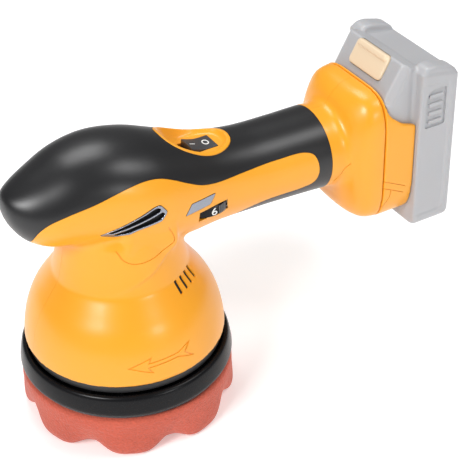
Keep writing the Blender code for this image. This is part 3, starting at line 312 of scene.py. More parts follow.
def make_object(name: str, points: np.ndarray, faces: Sequence[Sequence[int]]) -> bpy.types.Object:
    """Makes a closed object, with every face triangulated and turned outwards.

    Args:
        name: The object's name.
        points: Rows of x, y and z in millimetres.
        faces: Point numbers of each face.

    Returns:
        The object, at the origin.
    """
    mesh = bpy.data.meshes.new(name)
    mesh.from_pydata((np.asarray(points, float) * MM).tolist(), [], [list(face) for face in faces])
    bm = bmesh.new()
    bm.from_mesh(mesh)
    bmesh.ops.remove_doubles(bm, verts=bm.verts, dist=1e-7)
    bmesh.ops.triangulate(bm, faces=[face for face in bm.faces if len(face.verts) > 4])
    bmesh.ops.recalc_face_normals(bm, faces=bm.faces)
    bm.to_mesh(mesh)
    bm.free()
    obj = bpy.data.objects.new(name, mesh)
    bpy.context.scene.collection.objects.link(obj)
    return obj


def loft(name: str, rings: Sequence[np.ndarray], joined: bool = False) -> bpy.types.Object:
    """A closed skin through rings of points that all have one count.

    Args:
        name: The object's name.
        rings: The rings, in order.
        joined: Whether the last ring joins the first, instead of both being capped.

    Returns:
        The object.
    """
    count = len(rings[0])
    faces: list[list[int]] = []
    spans = len(rings) if joined else len(rings) - 1
    for index in range(spans):
        base, following = index * count, (index + 1) % len(rings) * count
        for step in range(count):
            after = (step + 1) % count
            faces.append([base + step, base + after, following + after, following + step])
    if not joined:
        faces.append(list(range(count))[::-1])
        faces.append([(len(rings) - 1) * count + step for step in range(count)])
    return make_object(name, np.concatenate(rings), faces)


def placed(outline: Outline, along: float, axis: Axis) -> np.ndarray:
    """The outline's points in space, at a place along the axis."""
    first, second, third = axis.value
    ring = np.zeros((len(outline), 3))
    ring[:, first] = [point[0] for point in outline]
    ring[:, second] = [point[1] for point in outline]
    ring[:, third] = along
    return ring


def prism(
    outline: Outline, low: float, high: float, axis: Axis, name: str = "prism"
) -> bpy.types.Object:
    """A flat outline given thickness along an axis."""
    return loft(name, [placed(outline, low, axis), placed(outline, high, axis)])


def rounded_prism(
    outline: Outline, low: float, high: float, axis: Axis, radius: float, name: str = "prism"
) -> bpy.types.Object:
    """A prism whose two end faces have rounded edges.

    Args:
        outline: The flat outline, run counter-clockwise.
        low: Where it starts along the axis.
        high: Where it ends.
        axis: The axis of its thickness.
        radius: The radius of the rounding.
        name: The object's name.

    Returns:
        The object.
    """
    rings = []
    steps = 5
    for step in range(steps + 1):
        turn = math.pi / 2 * step / steps
        inset = radius * (1.0 - math.sin(turn))
        rings.append((offset(outline, -inset), low + radius * (1.0 - math.cos(turn))))
    rings += [(flat, low + high - along) for flat, along in rings[::-1]]
    return loft(name, [placed(flat, along, axis) for flat, along in rings])


def revolve(profile: Outline, steps: int, name: str = "turned") -> bpy.types.Object:
    """A solid of revolution about Z from a closed outline of (radius, height) points.

    Args:
        profile: The outline. A radius of zero lies on the axis.
        steps: The number of steps round the axis.
        name: The object's name.

    Returns:
        The object.
    """
    turns = np.arange(steps) * 2 * math.pi / steps
    ring = np.array(profile, float)
    rings = [
        np.stack([ring[:, 0] * math.cos(a), ring[:, 0] * math.sin(a), ring[:, 1]], 1) for a in turns
    ]
    return loft(name, rings, joined=True)


def offset(outline: Outline, distance: float) -> list[Flat]:
    """The outline moved outwards by a distance, with mitred corners. It runs counter-clockwise."""
    points = np.array(outline, float)
    before = points - np.roll(points, 1, 0)
    after = np.roll(points, -1, 0) - points
    before /= np.maximum(np.linalg.norm(before, axis=1, keepdims=True), 1e-9)
    after /= np.maximum(np.linalg.norm(after, axis=1, keepdims=True), 1e-9)
    across = np.stack([before[:, 1] + after[:, 1], -before[:, 0] - after[:, 0]], 1)
    across /= np.maximum(np.linalg.norm(across, axis=1, keepdims=True), 1e-9)
    share = np.maximum(0.4, across[:, 0] * before[:, 1] - across[:, 1] * before[:, 0])
    return [tuple(point) for point in points + across * (distance / share)[:, None]]


def rounded(outline: Outline, radius: float, steps: int = 6) -> list[Flat]:
    """The outline with each corner replaced by a smooth curve.

    Args:
        outline: The corners.
        radius: How far from the corner the curve starts, less where a side is short.
        steps: Steps in each curve.

    Returns:
        The new outline.
    """
    made: list[Flat] = []
    count = len(outline)
    for index in range(count):
        corner = np.array(outline[index], float)
        back = np.array(outline[index - 1], float) - corner
        forth = np.array(outline[(index + 1) % count], float) - corner
        reach = min(radius, 0.49 * np.linalg.norm(back), 0.49 * np.linalg.norm(forth))
        start = corner + back / np.linalg.norm(back) * reach
        end = corner + forth / np.linalg.norm(forth) * reach
        for step in range(steps + 1):
            t = step / steps
            made.append(tuple((1 - t) ** 2 * start + 2 * t * (1 - t) * corner + t * t * end))
    return made


def curve_through(points: Sequence[Sequence[float]], steps: int) -> np.ndarray:
    """An open smooth curve through points of any dimension, by centripetal steps.

    Args:
        points: The points that it passes through.
        steps: Steps between two points.

    Returns:
        The curve's points, as rows.
    """
    known = np.array(points, float)
    ends = np.vstack([2 * known[0] - known[1], known, 2 * known[-1] - known[-2]])
    gaps = np.maximum(np.linalg.norm(np.diff(ends, axis=0), axis=1) ** 0.5, 1e-6)
    made = []
    for index in range(1, len(ends) - 2):
        p0, p1, p2, p3 = ends[index - 1 : index + 3]
        g0, g1, g2 = gaps[index - 1 : index + 2]
        m1 = (p1 - p0) / g0 - (p2 - p0) / (g0 + g1) + (p2 - p1) / g1
        m2 = (p2 - p1) / g1 - (p3 - p1) / (g1 + g2) + (p3 - p2) / g2
        for step in range(steps):
            t = step / steps
            made.append(
                (2 * t**3 - 3 * t**2 + 1) * p1 + (t**3 - 2 * t**2 + t) * m1 * g1
                + (-2 * t**3 + 3 * t**2) * p2 + (t**3 - t**2) * m2 * g1
            )
    made.append(known[-1])
    return np.array(made)


def stroke(path: Outline, width: float) -> list[Flat]:
    """A thin closed outline that follows an open path, run counter-clockwise."""
    line = np.array(path, float)
    along = np.gradient(line, axis=0)
    along /= np.linalg.norm(along, axis=1, keepdims=True)
    side = np.stack([-along[:, 1], along[:, 0]], 1) * width / 2
    return [tuple(p) for p in np.vstack([line - side, (line + side)[::-1]])]


def swap_mesh(obj: bpy.types.Object, mesh: bpy.types.Mesh) -> bpy.types.Object:
    """Gives the object another mesh, without modifiers, and drops the old one."""
    old = obj.data
    obj.modifiers.clear()
    obj.data = mesh
    bpy.data.meshes.remove(old)
    return obj


def evaluated_mesh(obj: bpy.types.Object) -> bpy.types.Mesh:
    """A new mesh of what the object's modifiers make."""
    bpy.context.view_layer.update()
    graph = bpy.context.evaluated_depsgraph_get()
    return bpy.data.meshes.new_from_object(obj.evaluated_get(graph))


def boolean(obj: bpy.types.Object, tool: bpy.types.Object, operation: str) -> bpy.types.Object:
    """Applies one Boolean to a closed object and removes the tool.

    Args:
        obj: The object that is changed.
        tool: The closed object that it is changed with.
        operation: UNION, DIFFERENCE or INTERSECT.

    Returns:
        The changed object.
    """
    modifier = obj.modifiers.new("boolean", "BOOLEAN")
    modifier.operation = operation
    modifier.solver = "MANIFOLD"
    modifier.object = tool
    mesh = evaluated_mesh(obj)
    if not mesh.polygons:
        raise RuntimeError(f"{operation} of {obj.name} and {tool.name} left nothing")
    swap_mesh(obj, mesh)
    bpy.data.objects.remove(tool, do_unlink=True)
    return obj


def cut(obj: bpy.types.Object, *tools: bpy.types.Object) -> bpy.types.Object:
    """Takes each tool away from the object."""
    for tool in tools:
        boolean(obj, tool, "DIFFERENCE")
    return obj


def join(obj: bpy.types.Object, *tools: bpy.types.Object) -> bpy.types.Object:
    """Adds each tool to the object, as one closed body."""
    for tool in tools:
        boolean(obj, tool, "UNION")
    return obj


def keep(obj: bpy.types.Object, tool: bpy.types.Object) -> bpy.types.Object:
    """Keeps what the object and the tool have in common."""
    return boolean(obj, tool, "INTERSECT")


def copy_of(obj: bpy.types.Object, name: str) -> bpy.types.Object:
    """A copy of the object with its own mesh."""
    other = bpy.data.objects.new(name, obj.data.copy())
    bpy.context.scene.collection.objects.link(other)
    return other


def moved(obj: bpy.types.Object, matrix: Matrix) -> bpy.types.Object:
    """The object with its mesh moved or turned by a matrix in metres."""
    obj.data.transform(matrix)
    return obj


def box(x: Flat, y: Flat, z: Flat) -> bpy.types.Object:
    """A plain box, used only to cut with."""
    return prism([(x[0], y[0]), (x[1], y[0]), (x[1], y[1]), (x[0], y[1])], z[0], z[1], Axis.Z, "box")


def circle(radius: float, centre: Flat = (0.0, 0.0), steps: int = 32) -> list[Flat]:
    """A circle's points, run counter-clockwise."""
    turns = [2 * math.pi * step / steps for step in range(steps)]
    return [(centre[0] + radius * math.cos(a), centre[1] + radius * math.sin(a)) for a in turns]


def rod(
    radius: float, low: float, high: float, centre: Flat, axis: Axis, steps: int = 32
) -> bpy.types.Object:
    """A round bar along an axis, used to cut or to join."""
    return prism(circle(radius, centre, steps), low, high, axis, "rod")


def remesh(obj: bpy.types.Object, voxel: float) -> bpy.types.Object:
    """Rebuilds the closed object in even faces of the voxel's size, in millimetres."""
    modifier = obj.modifiers.new("remesh", "REMESH")
    modifier.mode = "VOXEL"
    modifier.voxel_size = voxel * MM
    return swap_mesh(obj, evaluated_mesh(obj))


class Relaxer:
    """Smooths a mesh by moving each point towards the mean of its neighbours."""

    def __init__(self, obj: bpy.types.Object) -> None:
        """Reads the object's points and edges."""
        self.mesh = obj.data
        count = len(self.mesh.vertices)
        self.points = np.empty(count * 3)
        self.mesh.vertices.foreach_get("co", self.points)
        self.points = self.points.reshape(-1, 3)
        edges = np.empty(len(self.mesh.edges) * 2, np.int64)
        self.mesh.edges.foreach_get("vertices", edges)
        self.ends = edges.reshape(-1, 2)
        self.degree = np.maximum(np.bincount(self.ends.ravel(), minlength=count), 1)

    def mean(self, values: np.ndarray) -> np.ndarray:
        """The mean of each point's neighbours' values, which are a row for each point."""
        first, second = self.ends[:, 0], self.ends[:, 1]
        total = np.empty_like(values)
        for column in range(values.shape[1]):
            total[:, column] = np.bincount(
                first, weights=values[second, column], minlength=len(values)
            ) + np.bincount(second, weights=values[first, column], minlength=len(values))
        return total / self.degree[:, None]

    def smooth(self, rounds: int, weight: np.ndarray | float = 1.0) -> "Relaxer":
        """Smooths all points, or each by its own weight from 0 to 1."""
        for _ in range(rounds):
            self.points += 0.5 * weight * (self.mean(self.points) - self.points)
        return self

    def hollows(self, least: float, spread: int) -> np.ndarray:
        """Weights that are 1 in concave creases and fade out round them.

        Args:
            least: How far a point lies below its neighbours' mean to count, in millimetres.
            spread: How many faces the weight spreads over.

        Returns:
            One weight for each point, as a column.
        """
        normals = self.normals()
        rise = ((self.mean(self.points) - self.points) * normals).sum(1)
        weight = (rise > least * MM).astype(float)
        for _ in range(spread):
            reach = np.zeros_like(weight)
            np.maximum.at(reach, self.ends[:, 0], weight[self.ends[:, 1]])
            np.maximum.at(reach, self.ends[:, 1], weight[self.ends[:, 0]])
            weight = np.maximum(weight, reach - 1.0 / spread)
        return weight[:, None]

    def normals(self) -> np.ndarray:
        """Each point's normal, as rows."""
        self.write()
        made = np.empty(len(self.points) * 3)
        self.mesh.vertices.foreach_get("normal", made)
        return made.reshape(-1, 3)

    def lift(self, height: np.ndarray) -> None:
        """Moves each point out along its normal by its own height in millimetres."""
        self.points += self.normals() * height[:, None] * MM

    def write(self) -> None:
        """Writes the points back to the mesh."""
        self.mesh.vertices.foreach_set("co", self.points.ravel())
        self.mesh.update()


def softened(obj: bpy.types.Object, voxel: float, rounds: int) -> bpy.types.Object:
    """Rounds every edge of a closed object a little, as a mould does."""
    remesh(obj, voxel)
    Relaxer(obj).smooth(rounds).write()
    return obj


def shifted(obj: bpy.types.Object, distance: float) -> bpy.types.Object:
    """A copy of a smooth closed object with its skin moved outwards by a distance."""
    other = copy_of(obj, "shifted")
    normals = np.empty(len(other.data.vertices) * 3)
    points = np.empty_like(normals)
    other.data.vertices.foreach_get("normal", normals)
    other.data.vertices.foreach_get("co", points)
    other.data.vertices.foreach_set("co", points + normals * distance * MM)
    other.data.update()
    return other


def publish(
    obj: bpy.types.Object,
    name: str,
    finish: Finish,
    body: str,
    nodes: Sequence[str] = (),
    sharp: float = 32.0,
) -> bpy.types.Object:
    """Names and dresses a finished piece, ties it to its body and hides the frame's nodes that it
    stands for.

    Args:
        obj: The closed object, at the origin.
        name: The piece's name.
        finish: Its finish.
        body: The body that it rides on.
        nodes: The frame's nodes that it replaces.
        sharp: Edges that turn by more than this many degrees stay sharp.

    Returns:
        The piece.
    """
    bm = bmesh.new()
    bm.from_mesh(obj.data)
    bmesh.ops.remove_doubles(bm, verts=bm.verts, dist=1e-6)
    bmesh.ops.dissolve_degenerate(bm, edges=bm.edges, dist=1e-6)
    bm.to_mesh(obj.data)
    bm.free()
    obj.name = name
    obj.data.name = name
    obj.data.materials.clear()
    obj.data.materials.append(finish.material())
    obj.data.shade_smooth()
    obj.data.set_sharp_from_angle(angle=math.radians(sharp))
    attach(obj, body)
    if nodes:
        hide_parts(*nodes)
    triangles = sum(len(face.vertices) - 2 for face in obj.data.polygons)
    LOG.info("%s: %d triangles on %s", name, triangles, body)
    return obj


# ------------------------------------------------------------------------------- node trees


class RepeatTree:
    """A Geometry Nodes tree that repeats one object along a line, round the Z axis, or both."""

    def __init__(self) -> None:
        """Builds the tree and its named inputs."""
        self.tree = bpy.data.node_groups.new("repeat_piece", "GeometryNodeTree")
        face = self.tree.interface
        self.inputs = {}
        for label, kind in (
            ("Piece", "NodeSocketObject"), ("Count", "NodeSocketInt"), ("Start", "NodeSocketVector"),
            ("Step", "NodeSocketVector"), ("Turn", "NodeSocketFloat"), ("Finish", "NodeSocketMaterial"),
        ):
            self.inputs[label] = face.new_socket(label, in_out="INPUT", socket_type=kind).identifier
        face.new_socket("Geometry", in_out="OUTPUT", socket_type="NodeSocketGeometry")
        nodes, links = self.tree.nodes, self.tree.links
        start = nodes.new("NodeGroupInput")
        end = nodes.new("NodeGroupOutput")
        line = nodes.new("GeometryNodeMeshLine")
        info = nodes.new("GeometryNodeObjectInfo")
        index = nodes.new("GeometryNodeInputIndex")
        times = nodes.new("ShaderNodeMath")
        times.operation = "MULTIPLY"
        euler = nodes.new("ShaderNodeCombineXYZ")
        turned = nodes.new("FunctionNodeEulerToRotation")
        spread = nodes.new("GeometryNodeInstanceOnPoints")
        real = nodes.new("GeometryNodeRealizeInstances")
        dress = nodes.new("GeometryNodeSetMaterial")
        links.new(start.outputs["Count"], line.inputs["Count"])
        links.new(start.outputs["Start"], line.inputs["Start Location"])
        links.new(start.outputs["Step"], line.inputs["Offset"])
        links.new(start.outputs["Piece"], info.inputs["Object"])
        links.new(index.outputs[0], times.inputs[0])
        links.new(start.outputs["Turn"], times.inputs[1])
        links.new(times.outputs[0], euler.inputs["Z"])
        links.new(euler.outputs[0], turned.inputs[0])
        links.new(line.outputs["Mesh"], spread.inputs["Points"])
        links.new(info.outputs["Geometry"], spread.inputs["Instance"])
        links.new(turned.outputs[0], spread.inputs["Rotation"])
        links.new(spread.outputs["Instances"], real.inputs["Geometry"])
        links.new(real.outputs["Geometry"], dress.inputs["Geometry"])
        links.new(start.outputs["Finish"], dress.inputs["Material"])
        links.new(dress.outputs["Geometry"], end.inputs["Geometry"])

    def run(
        self,
        piece: bpy.types.Object,
        count: int,
        start: Sequence[float],
        step: Sequence[float],
        turn: float,
        finish: Finish,
    ) -> bpy.types.Object:
        """Makes the repeats one plain mesh object and removes the pattern piece.

        Args:
            piece: The object that is repeated.
            count: The number of copies.
            start: Where the first copy's origin goes, in millimetres.
            step: The way from one copy to the next, in millimetres.
            turn: The angle from one copy to the next about Z, in degrees.
            finish: The finish of all copies.

        Returns:
            The object with all copies.
        """
        host = bpy.data.objects.new("repeat", bpy.data.meshes.new("repeat"))
        bpy.context.scene.collection.objects.link(host)
        modifier = host.modifiers.new("repeat", "NODES")
        modifier.node_group = self.tree
        modifier[self.inputs["Piece"]] = piece
        modifier[self.inputs["Count"]] = count
        modifier[self.inputs["Start"]] = [value * MM for value in start]
        modifier[self.inputs["Step"]] = [value * MM for value in step]
        modifier[self.inputs["Turn"]] = math.radians(turn)
        modifier[self.inputs["Finish"]] = finish.material()
        swap_mesh(host, evaluated_mesh(host))
        bpy.data.objects.remove(piece, do_unlink=True)
        return host


class FieldMath:
    """Short names for math nodes on fields in one Geometry Nodes tree."""

    def __init__(self, tree: bpy.types.NodeTree) -> None:
        """Keeps the tree that the nodes go in."""
        self.tree = tree

    def __call__(self, operation: str, *terms: "bpy.types.NodeSocket | float") -> bpy.types.NodeSocket:
        """One math node.

        Args:
            operation: Blender's name of the operation.
            terms: Sockets or plain numbers.

        Returns:
            The result's socket.
        """
        node = self.tree.nodes.new("ShaderNodeMath")
        node.operation = operation
        for socket, term in zip(node.inputs, terms):
            if isinstance(term, bpy.types.NodeSocket):
                self.tree.links.new(term, socket)
            else:
                socket.default_value = term
        return node.outputs[0]


class ConvolutedTree:
    """Presses rings of round bumps into the lower side of a pad, with lobes round its rim."""

    INPUTS = ("Radius", "Depth", "Ring", "Bump", "Scallop")

    def __init__(self) -> None:
        """Builds the tree. Its named inputs are lengths in metres, a count and an angle."""
        self.tree = bpy.data.node_groups.new("convoluted_foam", "GeometryNodeTree")
        face = self.tree.interface
        face.new_socket("Geometry", in_out="INPUT", socket_type="NodeSocketGeometry")
        self.inputs = {
            label: face.new_socket(label, in_out="INPUT", socket_type="NodeSocketFloat").identifier
            for label in (*self.INPUTS, "Lobes", "Turn")
        }
        finish = face.new_socket("Finish", in_out="INPUT", socket_type="NodeSocketMaterial")
        self.inputs["Finish"] = finish.identifier
        face.new_socket("Geometry", in_out="OUTPUT", socket_type="NodeSocketGeometry")
        nodes, links = self.tree.nodes, self.tree.links
        start, end = nodes.new("NodeGroupInput"), nodes.new("NodeGroupOutput")
        place = nodes.new("GeometryNodeInputPosition")
        parts = nodes.new("ShaderNodeSeparateXYZ")
        links.new(place.outputs[0], parts.inputs[0])
        shift = nodes.new("ShaderNodeCombineXYZ")
        for axis, socket in self.shift(FieldMath(self.tree), start, *parts.outputs).items():
            links.new(socket, shift.inputs[axis])
        move = nodes.new("GeometryNodeSetPosition")
        real = nodes.new("GeometryNodeRealizeInstances")
        dress = nodes.new("GeometryNodeSetMaterial")
        links.new(start.outputs["Geometry"], move.inputs["Geometry"])
        links.new(shift.outputs[0], move.inputs["Offset"])
        links.new(move.outputs["Geometry"], real.inputs["Geometry"])
        links.new(real.outputs["Geometry"], dress.inputs["Geometry"])
        links.new(start.outputs["Finish"], dress.inputs["Material"])
        links.new(dress.outputs["Geometry"], end.inputs["Geometry"])

    def shift(
        self,
        maths: FieldMath,
        given: bpy.types.Node,
        x: bpy.types.NodeSocket,
        y: bpy.types.NodeSocket,
        z: bpy.types.NodeSocket,
    ) -> dict[str, bpy.types.NodeSocket]:
        """Where each point goes: up in a trough, and inwards at the rim.

        Args:
            maths: Makes math nodes.
            given: The node that holds the tree's inputs.
            x: The point's place along X.
            y: The point's place along Y.
            z: The point's height above the pad's working face.

        Returns:
            The offset's socket for each axis.
        """
        value = given.outputs
        squares = maths("ADD", maths("MULTIPLY", x, x), maths("MULTIPLY", y, y))
        far = maths("MAXIMUM", maths("SQRT", squares), 1e-5)
        round_z = maths("SUBTRACT", maths("ARCTAN2", y, x), value["Turn"])
        turn = maths("MULTIPLY", round_z, value["Lobes"])
        inwards = maths("DIVIDE", maths("SUBTRACT", value["Radius"], far), value["Ring"])
        ring = maths("MULTIPLY", inwards, 2 * math.pi)
        wave = maths("MULTIPLY", maths("COSINE", turn), maths("COSINE", ring))
        calm = maths("MINIMUM", maths("DIVIDE", far, value["Ring"]), 1.0)
        crest = maths("MULTIPLY_ADD", maths("MULTIPLY", wave, calm), 0.5, 0.5)
        low = maths("SUBTRACT", 1.0, maths("MINIMUM", maths("DIVIDE", z, value["Depth"]), 1.0))
        press = maths("MULTIPLY", maths("POWER", crest, 2.2), low)
        rim = maths("POWER", maths("DIVIDE", far, value["Radius"]), 6.0)
        pull = maths("MULTIPLY", maths("MULTIPLY", press, rim), value["Scallop"])
        share = maths("DIVIDE", maths("MULTIPLY", pull, -1.0), far)
        return {
            "X": maths("MULTIPLY", x, share),
            "Y": maths("MULTIPLY", y, share),
            "Z": maths("MULTIPLY", press, value["Bump"]),
        }

    def run(
        self, obj: bpy.types.Object, finish: Finish, lobes: int, turn: float, **sizes: float
    ) -> bpy.types.Object:
        """Applies the pattern to the object.

        Args:
            obj: The plain pad.
            finish: The foam's finish.
            lobes: The number of lobes round the rim.
            turn: The angle of one trough in degrees.
            sizes: A length in millimetres for each other input, in lower case.

        Returns:
            The object with its new mesh.
        """
        modifier = obj.modifiers.new("convoluted", "NODES")
        modifier.node_group = self.tree
        for label in self.INPUTS:
            modifier[self.inputs[label]] = sizes[label.lower()] * MM
        modifier[self.inputs["Lobes"]] = float(lobes)
        modifier[self.inputs["Turn"]] = math.radians(turn)
        modifier[self.inputs["Finish"]] = finish.material()
        return swap_mesh(obj, evaluated_mesh(obj))


# ----------------------------------------------------------------------------------- housing


@dataclass
class GripShape:
    """The grip and foot as sections along X, and the dome under them as a profile about Z."""

    radius: float = 25.6
    axis: float = GRIP_AXIS
    end: float = COVER_END + 0.15
    foot_end: float = SHELL[1].x + 3.0
    foot_axis: float = (COLLAR[0].z + COLLAR[1].z) / 2 - 3.2
    foot_half: float = 43.7
    foot_width: float = 34.0
    foot_power: float = 4.5
    dome_radius: float = -SHELL[0].y
    dome_base: float = SHELL[0].z

    def stations(self) -> list[tuple[float, float, float, float, float]]:
        """(x, axis height, half height, half width, power) of each section from nose to foot."""
        r, a, e = self.radius, self.axis, self.end
        return [
            (-66.3, a + 28.0, 0.8, 0.9, 2.0), (-65.6, a + 27.2, 5.2, 5.8, 2.0),
            (-63.5, a + 25.0, 9.9, 10.9, 2.0), (-57.0, a + 22.0, 16.5, 18.0, 2.0),
            (-46.0, a + 21.0, 22.6, 24.0, 2.0), (-30.0, a + 22.5, r + 1.6, r + 3.0, 2.1),
            (-10.0, a + 20.5, r + 6.0, r + 7.4, 2.1), (12.0, a + 14.5, r + 8.0, r + 8.9, 2.1),
            (34.0, a + 9.0, r + 5.0, r + 5.4, 2.1), (56.0, a + 5.0, r + 0.8, r + 1.0, 2.1),
            (80.0, a + 2.2, r - 0.6, r - 0.6, 2.0), (104.0, a + 1.0, r - 0.6, r - 0.6, 2.0),
            (e, a, r, r, 2.0), (e + 9.0, a - 0.9, r + 0.5, r + 0.2, 2.0),
            (e + 12.0, a - 2.6, r + 3.6, r + 1.4, 2.2), (e + 14.2, a - 4.0, r + 8.6, r + 3.4, 2.6),
            (e + 17.5, a - 5.2, r + 13.2, r + 5.8, 3.1),
            (e + 23.0, self.foot_axis + 0.2, 42.5, 33.4, 4.0),
            (self.foot_end, self.foot_axis, self.foot_half, self.foot_width, self.foot_power),
        ]

    def section(
        self, x: float, middle: float, high: float, wide: float, power: float, count: int
    ) -> np.ndarray:
        """One superellipse section as points."""
        turn = 2 * math.pi * (np.arange(count) + 0.5) / count
        across, up = np.cos(turn), np.sin(turn)
        y = wide * np.abs(across) ** (2 / power) * np.sign(across)
        z = middle + high * np.abs(up) ** (2 / power) * np.sign(up)
        return np.stack([np.full(count, x), y, z], 1)

    def solid(
        self, inset: float = 0.0, reach: float = 0.0, count: int = 112, steps: int = 7
    ) -> bpy.types.Object:
        """The grip and foot, moved in by the inset and run past the foot by the reach.

        Args:
            inset: How far the skin is moved in.
            reach: How far the foot is run on.
            count: Points round each section.
            steps: Sections from one station to the next.

        Returns:
            A closed object.
        """
        rings = []
        for x, middle, high, wide, power in curve_through(self.stations(), steps):
            place = x + inset * max(0.0, (-30.0 - x) / 36.0)
            high, wide = max(0.3, high - inset), max(0.3, wide - inset)
            rings.append(self.section(place, middle, high, wide, power, count))
        if reach:
            rings.append(rings[-1] + np.array([reach, 0.0, 0.0]))
        return loft("grip", rings)

    def top(self, x: float, y: float) -> float:
        """The skin's height over a point (x, y) on top of the grip."""
        rows = np.array(self.stations())
        middle, high, wide, power = (np.interp(x, rows[:, 0], rows[:, part]) for part in range(1, 5))
        return float(middle + high * max(0.0, 1.0 - (abs(y) / wide) ** power) ** (1.0 / power))

    def dome_profile(self, inset: float = 0.0) -> list[Flat]:
        """(radius, height) from the dome's rim up the neck, moved in by the inset."""
        bowl = [(0.0, 0.0), (9.5, 1.1), (19.5, 3.4), (29.5, 7.7), (37.5, 13.2), (46.5, 19.7)]
        neck = [(58.0, 22.7), (78.0, 27.0)]
        line = [tuple(point) for point in curve_through(bowl, 6)] + neck
        return [
            (self.dome_radius - drop - inset, self.dome_base + up - inset * 0.4) for up, drop in line
        ]

    def dome(self, inset: float = 0.0, steps: int = 160) -> bpy.types.Object:
        """The dome and neck as a closed solid."""
        profile = self.dome_profile(inset)
        return revolve([(0.0, profile[0][1]), *profile, (0.0, profile[-1][1])], steps, "dome")


